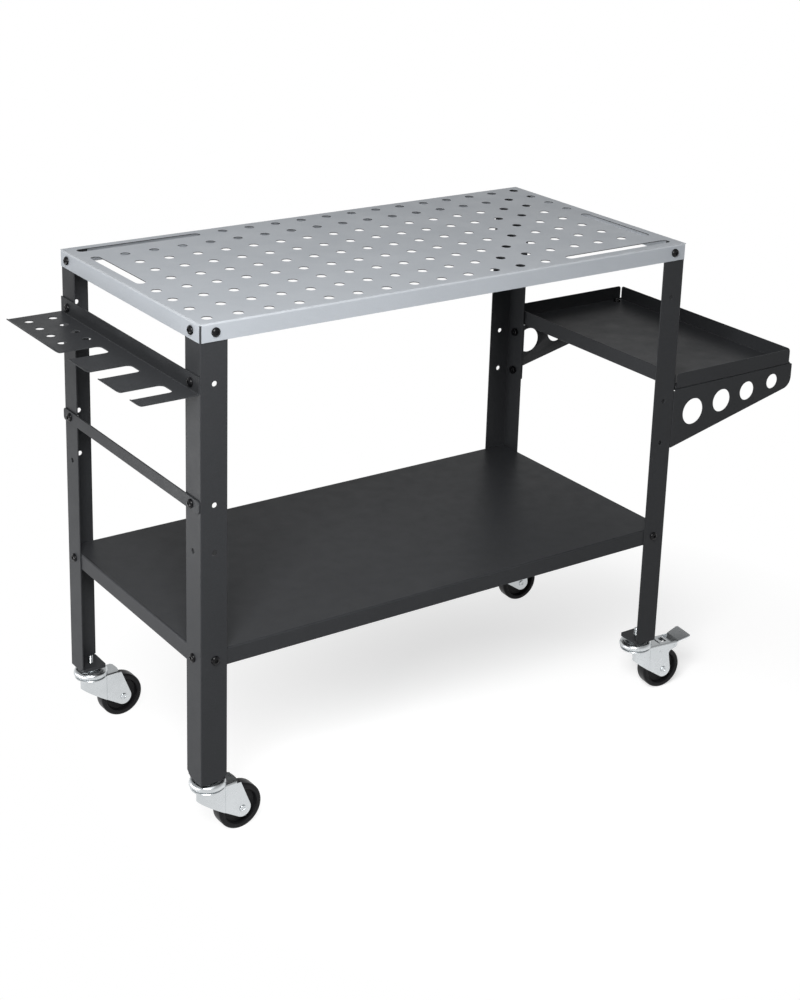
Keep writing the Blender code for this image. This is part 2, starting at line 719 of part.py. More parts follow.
def make_bolts(material, parent):
    top_grip = TOP_SHEET + FIT_GAP + LEG_SHEET
    shelf_grip = LEG_SHEET + FIT_GAP + SHELF_SHEET
    hanger_grip = HANGER_SHEET + FIT_GAP + LEG_SHEET
    crossbar_grip = CROSSBAR_SHEET + FIT_GAP + LEG_SHEET
    bracket_grip = BRACKET_SHEET + FIT_GAP + LEG_SHEET
    tray_grip = TRAY_SHEET + FIT_GAP + BRACKET_SHEET
    rows = (
        ("worktop_bolt_", TOP_LENGTH / 2, TOP_DEPTH / 2, TOP_BOLT_Z, top_grip),
        ("shelf_bolt_", LEG_X, LEG_Y, SHELF_BOLT_Z, shelf_grip),
    )
    for prefix, face_x, face_y, height, grip in rows:
        for corner, (sx, sy) in CORNERS.items():
            place = (sx * face_x, sy * BOLT_Y, height)
            add_bolt(prefix + corner + "_end", place, (sx, 0, 0), grip, material, parent)
            place = (sx * BOLT_X, sy * face_y, height)
            add_bolt(prefix + corner + "_side", place, (0, sy, 0), grip, material, parent)
    for side, sy in (("front", -1), ("back", 1)):
        place = (-OUTSIDE_LEG - HANGER_SHEET, sy * BOLT_Y, HANGER_Z)
        add_bolt("hanger_bolt_" + side, place, (-1, 0, 0), hanger_grip, material, parent)
        place = (-OUTSIDE_LEG - CROSSBAR_SHEET, sy * BOLT_Y, RAIL_Z)
        add_bolt("crossbar_bolt_" + side, place, (-1, 0, 0), crossbar_grip, material, parent)
        for level, height in (("upper", RAIL_Z), ("lower", LOWER_RAIL_Z)):
            place = (OUTSIDE_LEG + BRACKET_SHEET, sy * BOLT_Y, height)
            name = "bracket_bolt_" + side + "_" + level
            add_bolt(name, place, (1, 0, 0), bracket_grip, material, parent)
    names = ("front_inner", "front_outer", "back_inner", "back_outer")
    for name, (x, y) in zip(names, tray_bolt_places()):
        place = (x, y, TRAY_BOTTOM + TRAY_SHEET)
        add_bolt("tray_bolt_" + name, place, (0, 0, 1), tray_grip, material, parent)


# Casters, drawn with the stem on Z and the wheel trailing along +X

def stem_solid():
    collar_low, collar_high = RACE_TOP + FIT_GAP, LEG_BOTTOM - FIT_GAP
    stem_top = LEG_BOTTOM + FOOT_PLATE + STEM_END
    head_high = RACE_BOTTOM - FIT_GAP
    return turned_solid(
        [
            (STEM_HEAD_RADIUS, head_high - STEM_HEAD),
            (STEM_HEAD_RADIUS, head_high),
            (STEM_RADIUS, head_high),
            (STEM_RADIUS, collar_low),
            (STEM_COLLAR_RADIUS, collar_low),
            (STEM_COLLAR_RADIUS, collar_high),
            (STEM_RADIUS, collar_high),
            (STEM_RADIUS, stem_top),
        ],
        STEM_SIDES,
    )


def fork_side_outline(braked):
    # Side view of the fork: crown, back edge, round end about the axle, slanting lower edge.
    axle = (AXLE_TRAIL, WHEEL_RADIUS)
    above = FORK_CROWN + CUT_MARGIN
    front = -FORK_HALF - CUT_MARGIN
    back = [(FORK_BACK, above)]
    if braked:
        back = [
            (ARM_BACK, above),
            (ARM_BACK, FORK_CROWN - ARM_END_HEIGHT),
            (ARM_ROOT, FORK_CROWN - ARM_ROOT_HEIGHT),
        ]
    nose = (front, FORK_FRONT)
    start, _ = tangent_point(back[-1], axle, FORK_END_RADIUS, -1)
    end, _ = tangent_point(nose, axle, FORK_END_RADIUS, 1)
    end_arc = arc(axle, FORK_END_RADIUS, start, end - 2 * math.pi, 2 * ARC_STEPS)
    return [(front, above)] + back + end_arc + [nose]


def fork_plan(half, back):
    nose = arc((0, 0), half, math.pi / 2, 3 * math.pi / 2, 2 * ARC_STEPS)
    return nose + [(back, -half), (back, half)]


def race_solid():
    bore = STEM_RADIUS + HOLE_SLACK
    corner = RACE_RADIUS - RACE_ROUND
    return turned_ring(
        [
            (bore / math.cos(math.pi / RACE_SIDES), RACE_TOP),
            (corner, RACE_TOP),
            (RACE_RADIUS, RACE_TOP - RACE_ROUND),
            (RACE_RADIUS, RACE_BOTTOM + RACE_ROUND),
            (corner, RACE_BOTTOM),
            (bore / math.cos(math.pi / RACE_SIDES), RACE_BOTTOM),
        ],
        RACE_SIDES,
    )


def make_fork(corner, braked, material, swivel):
    back = ARM_BACK if braked else FORK_BACK + FORK_END_RADIUS + FORK_CROWN
    plan = (fork_plan(FORK_HALF, back), "Z", 0.0, FORK_CROWN)
    fork = piece("caster_fork_" + corner, prisms([plan]), material, swivel)
    hollow = fork_plan(FORK_INNER, back + CUT_MARGIN)
    cut(fork, [(hollow, "Z", -CUT_MARGIN, FORK_CROWN - FORK_SHEET)])
    width = FORK_HALF + CUT_MARGIN
    combine(fork, prisms([(fork_side_outline(braked), "Y", -width, width)]), "INTERSECT")
    if braked:
        low = (CROWN_BACK, -FORK_INNER, FORK_CROWN - FORK_SHEET - CUT_MARGIN)
        high = (ARM_BACK + CUT_MARGIN, FORK_INNER, FORK_CROWN + CUT_MARGIN)
        cut(fork, [box(low, high)])
    bore = circle((0, 0), STEM_RADIUS + HOLE_SLACK + FIT_GAP, RACE_SIDES)
    cut(fork, [(bore, "Z", FORK_CROWN - FORK_SHEET - CUT_MARGIN, FORK_CROWN + CUT_MARGIN)])
    combine(fork, race_solid(), "UNION")
    holes = [(circle((AXLE_TRAIL, WHEEL_RADIUS), AXLE_RADIUS + HOLE_SLACK, HOLE_SIDES), "Y", -width, width)]
    if braked:
        pin = (PEDAL_PIVOT, FORK_CROWN - PEDAL_PIVOT_DROP)
        holes.append((circle(pin, PEDAL_PIN_RADIUS + HOLE_SLACK, HOLE_SIDES), "Y", -width, width))
    cut(fork, holes)


def wheel_solid():
    # A tread with rounded shoulders, a rim, a recessed disc and a bore.
    half = WHEEL_WIDTH / 2
    flat = math.cos(math.pi / WHEEL_SIDES)
    bore = AXLE_RADIUS + HOLE_SLACK
    rim = WHEEL_RADIUS - WHEEL_RIM
    side = [
        (bore, half - HUB_RECESS),
        (rim - WHEEL_SHOULDER, half - WHEEL_RECESS),
        (rim, half),
        (WHEEL_RADIUS - WHEEL_SHOULDER, half),
        (WHEEL_RADIUS, half - WHEEL_SHOULDER_WIDTH),
    ]
    profile = side + [(radius, -height) for radius, height in reversed(side)]
    return turned_ring([(radius / flat, height) for radius, height in profile], WHEEL_SIDES)


def axle_solid():
    half = FORK_HALF + FIT_GAP
    end = half + AXLE_HEAD
    side = [(AXLE_HEAD_RADIUS, end), (AXLE_HEAD_RADIUS, half), (AXLE_RADIUS, half)]
    return turned_solid(side + [(radius, -height) for radius, height in reversed(side)], HOLE_SIDES)


def pedal_path():
    # Shoe, pin and pad in side view, from the pin. The locked shoe points straight at the axle.
    pin = Vector((PEDAL_PIVOT, FORK_CROWN - PEDAL_PIVOT_DROP))
    to_axle = Vector((AXLE_TRAIL, WHEEL_RADIUS)) - pin
    shoe = to_axle.length - WHEEL_RADIUS / math.cos(math.pi / WHEEL_SIDES) - BRAKE_GAP
    turn = math.atan2(to_axle.y, to_axle.x) + math.radians(PEDAL_TRAVEL)
    slope = math.radians(PEDAL_PAD_SLOPE)
    tip = (PEDAL_ROOT + PEDAL_PAD * math.cos(slope), PEDAL_ROOT_RISE + PEDAL_PAD * math.sin(slope))
    return [
        (shoe * math.cos(turn), shoe * math.sin(turn)),
        (0.0, 0.0),
        (PEDAL_ROOT, PEDAL_ROOT_RISE),
        tip,
    ]


def pedal_plan():
    # Narrow between the fork's arms, then a pad that widens to its tip.
    front = -PEDAL_PIVOT
    shoulder = ARM_BACK + FIT_GAP - PEDAL_PIVOT
    tip = pedal_path()[-1][0] + CUT_MARGIN
    root, end, cut_off = PEDAL_PAD_ROOT_WIDTH / 2, PEDAL_PAD_TIP_WIDTH / 2, PEDAL_PAD_CORNER
    near = [(front, PEDAL_HALF), (shoulder, PEDAL_HALF), (shoulder, root)]
    near += [(tip - cut_off, end), (tip, end - cut_off)]
    return near + [(x, -y) for x, y in reversed(near)]


def make_pedal(corner, material, pivot):
    half = PEDAL_PAD_TIP_WIDTH / 2
    strip = (bent_strip(pedal_path(), PEDAL_SHEET), "Y", -half, half)
    pedal = piece("brake_pedal_" + corner, prisms([strip]), material, pivot)
    depth = FORK_CROWN
    combine(pedal, prisms([(pedal_plan(), "Z", -depth, depth)]), "INTERSECT")
    pin = circle((0.0, 0.0), PEDAL_PIN_RADIUS * math.cos(math.pi / HOLE_SIDES), HOLE_SIDES)
    combine(pedal, prisms([(pin, "Y", -FORK_HALF, FORK_HALF)]), "UNION")


def make_casters(zinc, tread, parent):
    for corner, (sx, sy) in CORNERS.items():
        braked = corner in BRAKED
        turn = math.radians(CASTER_TURN[corner])
        swivel = empty("swivel_" + corner, parent, (sx * BOLT_X, sy * BOLT_Y, 0.0), turn)
        stem_place = (sx * BOLT_X, sy * BOLT_Y, 0.0)
        piece("caster_stem_" + corner, stem_solid(), zinc, parent, stem_place)
        make_fork(corner, braked, zinc, swivel)
        axle_place = (AXLE_TRAIL, 0.0, WHEEL_RADIUS)
        axle = piece("caster_axle_" + corner, axle_solid(), zinc, swivel, axle_place)
        axle.rotation_euler = (math.pi / 2, 0.0, 0.0)
        spin = empty("spin_" + corner, swivel, axle_place)
        wheel = piece("caster_wheel_" + corner, wheel_solid(), tread, spin)
        wheel.rotation_euler = (math.pi / 2, 0.0, 0.0)
        if braked:
            pivot_place = (PEDAL_PIVOT, 0.0, FORK_CROWN - PEDAL_PIVOT_DROP)
            make_pedal(corner, zinc, empty("pedal_" + corner, swivel, pivot_place))


def stand_on_origin(root, items):
    # The origin lies on the floor, under the middle of the whole outline.
    bpy.context.view_layer.update()
    points = [item.matrix_world @ vert.co for item in items for vert in item.data.vertices]
    low = [min(point[i] for point in points) for i in range(3)]
    high = [max(point[i] for point in points) for i in range(3)]
    root.location = (-(low[0] + high[0]) / 2, -(low[1] + high[1]) / 2, -low[2])
    bpy.context.view_layer.update()


def main():
    clear_scene()
    silver = finish("silver_paint", (0.47, 0.50, 0.53), 0.45, 0.42)
    black = finish("black_powder_coat", (0.035, 0.036, 0.038), 0.0, 0.55)
    bolt_black = finish("black_oxide", (0.012, 0.012, 0.013), 0.6, 0.32)
    zinc = finish("bright_zinc", (0.78, 0.80, 0.82), 1.0, 0.24)
    tread = finish("black_wheel", (0.016, 0.016, 0.017), 0.0, 0.5)
    root = empty("table", None, (0.0, 0.0, 0.0))
    make_worktop(silver, root)
    make_legs(black, root)
    make_shelf(black, root)
    make_hanger(black, root)
    make_crossbar(black, root)
    make_bracket("tray_bracket_front", -1, black, root)
    make_bracket("tray_bracket_back", 1, black, root)
    make_tray(black, root)
    make_bolts(bolt_black, root)
    make_casters(zinc, tread, root)
    items = [item for item in bpy.data.objects if item.type == "MESH"]
    shade(items)
    stand_on_origin(root, items)


main()
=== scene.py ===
import json
import math
from functools import partial

import bmesh
import bpy
from mathutils import Matrix, Vector

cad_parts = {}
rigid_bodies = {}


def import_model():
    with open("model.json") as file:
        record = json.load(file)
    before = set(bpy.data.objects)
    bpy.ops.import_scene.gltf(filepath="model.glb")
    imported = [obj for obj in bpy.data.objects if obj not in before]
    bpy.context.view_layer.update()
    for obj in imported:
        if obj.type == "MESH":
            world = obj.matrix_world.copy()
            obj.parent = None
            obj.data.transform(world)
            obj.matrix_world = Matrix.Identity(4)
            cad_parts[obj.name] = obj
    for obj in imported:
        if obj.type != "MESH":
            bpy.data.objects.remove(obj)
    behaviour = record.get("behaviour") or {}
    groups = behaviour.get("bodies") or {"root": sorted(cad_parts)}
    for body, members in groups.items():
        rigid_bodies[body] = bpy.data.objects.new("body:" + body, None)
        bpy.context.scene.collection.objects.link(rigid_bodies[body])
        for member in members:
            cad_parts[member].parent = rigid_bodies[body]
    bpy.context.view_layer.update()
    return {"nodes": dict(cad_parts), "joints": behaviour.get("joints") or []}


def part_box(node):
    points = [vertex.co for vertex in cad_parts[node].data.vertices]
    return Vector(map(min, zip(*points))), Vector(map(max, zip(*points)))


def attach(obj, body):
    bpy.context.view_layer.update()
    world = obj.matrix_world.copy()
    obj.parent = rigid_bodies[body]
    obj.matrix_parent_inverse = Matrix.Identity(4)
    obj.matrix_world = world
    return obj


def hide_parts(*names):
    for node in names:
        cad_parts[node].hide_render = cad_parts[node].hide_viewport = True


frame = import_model()

for item in list(bpy.data.objects):  # start from the frame alone
    if item.name not in frame["nodes"] and not item.name.startswith("body:"):
        bpy.data.objects.remove(item, do_unlink=True)

# the worktop's middle is where everything is measured from
topLow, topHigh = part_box("worktop")
tableMiddle = Vector(((topLow.x + topHigh.x) / 2, (topLow.y + topHigh.y) / 2, 0.0))
topZ = topHigh.z
corners = {"front_left": (-1, -1), "front_right": (1, -1), "back_left": (-1, 1), "back_right": (1, 1)}
joints = {joint["name"]: joint for joint in frame["joints"]}
tiny = 1e-6  # two places closer than this are the same
past, justPast = 0.002, 0.001  # how far a cutting shape runs past what it cuts
innerBend = 0.0004  # least radius inside a bend


def atTable(node):
    low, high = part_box(node)
    return low - tableMiddle, high - tableMiddle


print("frame loaded,", len(frame["nodes"]), "nodes")


# outlines

def arc(centre, radius, start, end, steps):
    turns = [start + (end - start) * i / steps for i in range(steps + 1)]
    return [(centre[0] + radius * math.cos(a), centre[1] + radius * math.sin(a)) for a in turns]


def ring(centre, radius, sides):
    return arc(centre, radius, 0.0, 2 * math.pi, sides)[:-1]


def rounded(points, quarterSteps=6):
    # points are (x, y, corner radius), in order round the shape
    shape = []
    for i, (x, y, radius) in enumerate(points):
        here = Vector((x, y))
        if radius <= 0:
            shape.append((x, y))
            continue
        toLast = (Vector(points[i - 1][:2]) - here).normalized()
        toNext = (Vector(points[(i + 1) % len(points)][:2]) - here).normalized()
        half = toLast.angle(toNext) / 2
        centre = here + (toLast + toNext).normalized() * radius / math.sin(half)
        first = here + toLast * radius / math.tan(half) - centre
        last = here + toNext * radius / math.tan(half) - centre
        start = math.atan2(first.y, first.x)
        turn = (math.atan2(last.y, last.x) - start + math.pi) % (2 * math.pi) - math.pi
        steps = max(2, round(abs(turn) / (math.pi / 2) * quarterSteps))
        shape += arc(centre, radius, start, start + turn, steps)
    return shape


def slotShape(first, last, radius, steps=10):
    along = math.atan2(last[1] - first[1], last[0] - first[0])
    tip = arc(last, radius, along - math.pi / 2, along + math.pi / 2, steps)
    return tip + arc(first, radius, along + math.pi / 2, along + 3 * math.pi / 2, steps)


def rect(low, high, radius=0.0):
    corner = [(low[0], low[1]), (high[0], low[1]), (high[0], high[1]), (low[0], high[1])]
    return rounded([(x, y, radius) for x, y in corner])


# solids

placeOn = {
    "x": lambda a, b, h: (h, a, b),
    "y": lambda a, b, h: (a, h, b),
    "z": lambda a, b, h: (a, b, h),
}


def addPrism(bm, outline, axis, low, high):
    place = placeOn[axis]
    bottom = [bm.verts.new(place(a, b, low)) for a, b in outline]
    top = [bm.verts.new(place(a, b, high)) for a, b in outline]
    bm.faces.new(bottom[::-1])
    bm.faces.new(top)
    for i in range(len(outline)):
        j = (i + 1) % len(outline)
        bm.faces.new((bottom[i], bottom[j], top[j], top[i]))


def prisms(*shapes):
    bm = bmesh.new()
    for shape in shapes:
        addPrism(bm, *shape)
    bmesh.ops.recalc_face_normals(bm, faces=bm.faces)
    return bm


def block(low, high):
    return rect(low[:2], high[:2]), "z", low[2], high[2]


def turned(steps, sides, closed=True):
    # steps are (radius, height) or (across flats, height, "hex"), about z
    bm = bmesh.new()
    rings = []
    for step in steps:
        loop = []
        for i in range(sides):
            angle = 2 * math.pi * i / sides
            radius = step[0]
            if len(step) == 3:
                radius = radius / 2 / math.cos(angle % (math.pi / 3) - math.pi / 6)
            loop.append(bm.verts.new((radius * math.cos(angle), radius * math.sin(angle), step[1])))
        rings.append(loop)
    if not closed:
        rings.append(rings[0])
    for one, other in zip(rings, rings[1:]):
        for i in range(sides):
            j = (i + 1) % sides
            bm.faces.new((one[i], one[j], other[j], other[i]))
    if closed:
        bm.faces.new(rings[0])
        bm.faces.new(rings[-1])
    bmesh.ops.recalc_face_normals(bm, faces=bm.faces)
    return bm


def moved(bm, matrix):
    bmesh.ops.transform(bm, matrix=matrix, verts=bm.verts)
    if matrix.determinant() < 0:
        bmesh.ops.reverse_faces(bm, faces=bm.faces)
    return bm


def newPiece(name, bm):
    mesh = bpy.data.meshes.new(name)
    bm.to_mesh(mesh)
    bm.free()
    piece = bpy.data.objects.new(name, mesh)
    bpy.context.scene.collection.objects.link(piece)
    return piece


def bake(piece):
    graph = bpy.context.evaluated_depsgraph_get()
    mesh = bpy.data.meshes.new_from_object(piece.evaluated_get(graph))
    piece.modifiers.clear()
    old = piece.data
    piece.data = mesh
    bpy.data.meshes.remove(old)


def combine(piece, bm, operation="DIFFERENCE"):
    tool = newPiece("tool", bm)
    step = piece.modifiers.new("step", "BOOLEAN")
    step.operation = operation
    step.solver = "EXACT"
    step.object = tool
    bake(piece)
    bpy.data.objects.remove(tool)


def bendEdges(piece, radius, steps, chosen):
    # rounds the edges that chosen(first, last) picks, as a press brake would
    bm = bmesh.new()
    bm.from_mesh(piece.data)
    edges = [e for e in bm.edges if chosen(e.verts[0].co, e.verts[1].co)]
    bmesh.ops.bevel(bm, geom=edges, offset=radius, segments=steps, profile=0.5, affect="EDGES")
    bm.to_mesh(piece.data)
    bm.free()


def both(one, other, place):
    return abs(one - place) < tiny and abs(other - place) < tiny


def levelAt(z):
    # picks the edges that lie level at a height
    return lambda a, b: both(a.z, b.z, z)


def hollowOut(piece, shape, bend, chosen):
    # takes a shape out of a piece, with the chosen edges bent as the sheet is
    hollow = newPiece("hollow", prisms(shape))
    bendEdges(hollow, bend, 3, chosen)
    tool = bmesh.new()
    tool.from_mesh(hollow.data)
    bpy.data.objects.remove(hollow)
    combine(piece, tool)


def markFaces(piece, name, chosen):
    # an attribute for the finish to read, 1 on the faces that chosen(centre, normal) picks
    marks = [1.0 if chosen(face.center, face.normal) else 0.0 for face in piece.data.polygons]
    piece.data.attributes.new(name, "FLOAT", "FACE").data.foreach_set("value", marks)


def softEdges(piece, width, steps=2, angle=38):
    # a hair of rounding on every sheared edge, and flat faces kept flat
    piece.data.shade_smooth()
    edge = piece.modifiers.new("edge", "BEVEL")
    edge.width = width
    edge.segments = steps
    edge.limit_method = "ANGLE"
    edge.angle_limit = math.radians(angle)
    edge.miter_outer = "MITER_ARC"
    even = piece.modifiers.new("even", "WEIGHTED_NORMAL")
    even.weight = 90
    bake(piece)


def softPattern(pattern):
    pattern.data.shade_smooth()
    pattern.data.set_sharp_from_angle(angle=math.radians(34))


def seat(piece, body, slotName, material, *nodes):
    piece.data.materials.clear()
    piece.data.materials.append(material)
    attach(piece, body)
    if nodes:
        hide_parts(*nodes)


def toTable(piece):
    piece.data.transform(Matrix.Translation(tableMiddle))


def seatBlack(piece, node):
    toTable(piece)
    seat(piece, "frame", "black_powder_coat", black, node)


# node trees

def addNode(tree, kind, inputs, **settings):
    # a new node, set first, then fed from sockets or plain values; gives its outputs
    node = tree.nodes.new(kind)
    for name, value in settings.items():
        setattr(node, name, value)
    for name, value in inputs.items():
        if isinstance(value, bpy.types.NodeSocket):
            tree.links.new(value, node.inputs[name])
        else:
            node.inputs[name].default_value = value
    return node.outputs


def valueNode(tree, operation, one, other):
    return addNode(tree, "ShaderNodeMath", {0: one, 1: other}, operation=operation)["Value"]


def newTree(name, inputs):
    tree = bpy.data.node_groups.new(name, "GeometryNodeTree")
    tree.interface.new_socket("Geometry", in_out="INPUT", socket_type="NodeSocketGeometry")
    for label, kind in inputs:
        tree.interface.new_socket(label, in_out="INPUT", socket_type="NodeSocket" + kind)
    tree.interface.new_socket("Geometry", in_out="OUTPUT", socket_type="NodeSocketGeometry")
    return tree, tree.nodes.new("NodeGroupInput").outputs, tree.nodes.new("NodeGroupOutput").inputs


def giveTree(piece, tree, values):
    step = piece.modifiers.new(tree.name, "NODES")
    step.node_group = tree
    for socket in tree.interface.items_tree:
        if socket.in_out == "INPUT" and socket.name in values:
            step[socket.identifier] = values[socket.name]


# finishes

def shaderBase(name, colour, metallic, roughness):
    material = bpy.data.materials.new(name)
    material.use_nodes = True
    tree = material.node_tree
    shader = tree.nodes["Principled BSDF"]
    shader.inputs["Base Color"].default_value = (*colour, 1.0)
    shader.inputs["Metallic"].default_value = metallic
    shader.inputs["Roughness"].default_value = roughness
    return material, tree, shader, addNode(tree, "ShaderNodeTexCoord", {})["Object"]


def noise(tree, where, scale, detail=3.0, stretch=None):
    if stretch:
        where = addNode(tree, "ShaderNodeMapping", {"Vector": where, "Scale": stretch})["Vector"]
    return addNode(tree, "ShaderNodeTexNoise", {
        "Vector": where, "Scale": scale, "Detail": detail, "Roughness": 0.55})["Fac"]


def spread(tree, value, low, high, fromLow=0.3, fromHigh=0.7):
    return addNode(tree, "ShaderNodeMapRange", {
        "Value": value, "From Min": fromLow, "From Max": fromHigh, "To Min": low, "To Max": high})["Result"]


def tint(tree, value, dark, light):
    ramp = tree.nodes.new("ShaderNodeValToRGB")
    ramp.color_ramp.elements[0].position = 0.3
    ramp.color_ramp.elements[1].position = 0.7
    ramp.color_ramp.elements[0].color = (*dark, 1.0)
    ramp.color_ramp.elements[1].color = (*light, 1.0)
    tree.links.new(value, ramp.inputs["Fac"])
    return ramp.outputs["Color"]


def added(tree, one, other):
    return valueNode(tree, "ADD", one, other)


def mottle(tree, fine, cloud, s):
    # fine grain over broad clouds, from the dark to the light of a finish
    fineShare, cloudShare = s["shares"]
    depth = added(tree, spread(tree, fine, 0.0, fineShare), spread(tree, cloud, 0.0, cloudShare, 0.2, 0.8))
    return tint(tree, depth, s["dark"], s["light"])


def bumped(tree, shader, height, strength, distance):
    bump = addNode(tree, "ShaderNodeBump", {"Height": height, "Strength": strength, "Distance": distance})
    tree.links.new(bump["Normal"], shader.inputs["Normal"])


def marked(tree, name):
    return addNode(tree, "ShaderNodeAttribute", {}, attribute_name=name)["Fac"]


def mixed(tree, kind, share, one, other):
    return addNode(tree, "ShaderNodeMix", {"Factor": share, "A": one, "B": other}, data_type=kind)["Result"]


def bendShine(tree, shader, rough, s):
    # the coat is drawn smooth over a tight bend
    bend = marked(tree, "bend")
    tree.links.new(mixed(tree, "FLOAT", bend, rough, s["bendSmooth"]), shader.inputs["Roughness"])
    return bend


silverFinish = {"dark": (0.405, 0.432, 0.465), "light": (0.445, 0.473, 0.508), "shares": (0.55, 0.45), "metallic": 0.22,
                "rough": 0.42, "smooth": 0.36, "dull": 0.48, "gloss": 0.28, "flake": 1700.0, "peel": 520.0,
                "cloud": 7.0, "patch": 26.0, "bump": (0.12, 0.0002),
                "wallGrain": 240.0, "wallDark": (0.030, 0.031, 0.033), "wallLight": (0.065, 0.067, 0.071),
                "bendGrain": 90.0, "bendHighlightDark": (0.475, 0.503, 0.535), "bendHighlightLight": (0.525, 0.553, 0.585),
                "bendSmooth": 0.2}


def makeSilver(s=silverFinish):
    material, tree, shader, where = shaderBase("silver_paint", s["light"], s["metallic"], s["rough"])
    shader.inputs["Specular IOR Level"].default_value = s["gloss"]
    flake = noise(tree, where, s["flake"], 1.0)
    cloud = noise(tree, where, s["cloud"], 4.0)
    colour = mottle(tree, flake, cloud, s)
    # the punched walls of the holes are painted dark: thin paint on the cut edges, and painted shade inside the holes
    thinPaintAndShade = tint(tree, noise(tree, where, s["wallGrain"], 4.0), s["wallDark"], s["wallLight"])
    wallsThinAndShaded = mixed(tree, "RGBA", marked(tree, "punched"), colour, thinPaintAndShade)
    rough = spread(tree, noise(tree, where, s["patch"], 5.0), s["smooth"], s["dull"])
    bend = bendShine(tree, shader, rough, s)
    # the bend faces are painted lighter: a painted highlight along each bend
    drawn = tint(tree, noise(tree, where, s["bendGrain"], 4.0), s["bendHighlightDark"], s["bendHighlightLight"])
    tree.links.new(mixed(tree, "RGBA", bend, wallsThinAndShaded, drawn), shader.inputs["Base Color"])
    peel = added(tree, noise(tree, where, s["peel"], 2.0), spread(tree, flake, 0.0, 0.3))
    bumped(tree, shader, peel, *s["bump"])
    return material


blackFinish = {"dark": (0.032, 0.0335, 0.036), "light": (0.0395, 0.041, 0.044), "shares": (0.6, 0.35), "rough": 0.45,
               "smooth": 0.34, "dull": 0.44, "gloss": 0.08, "bendSmooth": 0.22, "texture": 1300.0, "coarse": 420.0,
               "cloud": 5.0, "patch": 34.0, "bump": (0.16, 0.00015)}


def makeBlack(s=blackFinish):
    material, tree, shader, where = shaderBase("black_powder_coat", s["light"], 0.0, s["rough"])
    shader.inputs["Specular IOR Level"].default_value = s["gloss"]
    texture = noise(tree, where, s["texture"], 2.0)
    cloud = noise(tree, where, s["cloud"], 4.0)
    tree.links.new(mottle(tree, texture, cloud, s), shader.inputs["Base Color"])
    rough = spread(tree, noise(tree, where, s["patch"], 5.0), s["smooth"], s["dull"])
    bendShine(tree, shader, rough, s)
    bumped(tree, shader, added(tree, texture, noise(tree, where, s["coarse"], 1.0)), *s["bump"])
    return material


zincFinish = {"dark": (0.575, 0.60, 0.615), "light": (0.63, 0.655, 0.67), "shares": (0.35, 0.65), "rough": 0.25,
              "smooth": 0.23, "dull": 0.31, "grain": 900.0, "bloom": 38.0, "drawn": 90.0, "bump": (0.04, 0.0001)}


def makeZinc(s=zincFinish):
    material, tree, shader, where = shaderBase("bright_zinc", s["light"], 1.0, s["rough"])
    grain = noise(tree, where, s["grain"], 3.0)
    bloom = noise(tree, where, s["bloom"], 4.0)
    tree.links.new(mottle(tree, grain, bloom, s), shader.inputs["Base Color"])
    tree.links.new(spread(tree, bloom, s["smooth"], s["dull"]), shader.inputs["Roughness"])
    drawn = noise(tree, where, s["drawn"], 2.0, stretch=(1.0, 1.0, 9.0))
    bumped(tree, shader, added(tree, grain, drawn), *s["bump"])
    return material


# grain and patch are (scale, detail), bump is (strength, distance)
oxideFinish = {"dark": (0.003, 0.003, 0.0035), "light": (0.006, 0.006, 0.007), "rough": 0.3, "smooth": 0.09,
               "dull": 0.16, "gloss": 0.17, "grain": (900.0, 3.0), "patch": (300.0, 3.0), "bump": (0.1, 0.0001)}
wheelFinish = {"dark": (0.007, 0.007, 0.008), "light": (0.012, 0.012, 0.013), "rough": 0.42, "smooth": 0.30,
               "dull": 0.42, "gloss": 0.14, "grain": (1100.0, 2.0), "patch": (120.0, 4.0), "bump": (0.14, 0.00012)}


def makePlain(name, s):
    material, tree, shader, where = shaderBase(name, s["light"], 0.0, s["rough"])
    shader.inputs["Specular IOR Level"].default_value = s["gloss"]
    grain = noise(tree, where, *s["grain"])
    tree.links.new(tint(tree, grain, s["dark"], s["light"]), shader.inputs["Base Color"])
    tree.links.new(spread(tree, noise(tree, where, *s["patch"]), s["smooth"], s["dull"]), shader.inputs["Roughness"])
    bumped(tree, shader, grain, *s["bump"])
    return material


silver, black, zinc = makeSilver(), makeBlack(), makeZinc()
oxide, wheelBlack = makePlain("black_oxide", oxideFinish), makePlain("black_wheel", wheelFinish)
print("finishes made")


# worktop: a folded sheet, slotted, then perforated by its node tree

worktopSet = {"sheet": 0.0012, "bend": 0.0028, "cornerGap": 0.0033, "gapStop": 0.0002, "pitch": 0.0508, "inset": 0.0254,
              "hole": 0.016, "holeSides": 28, "rowSlot": 4, "endSlot": 3, "softEdge": 0.00028}


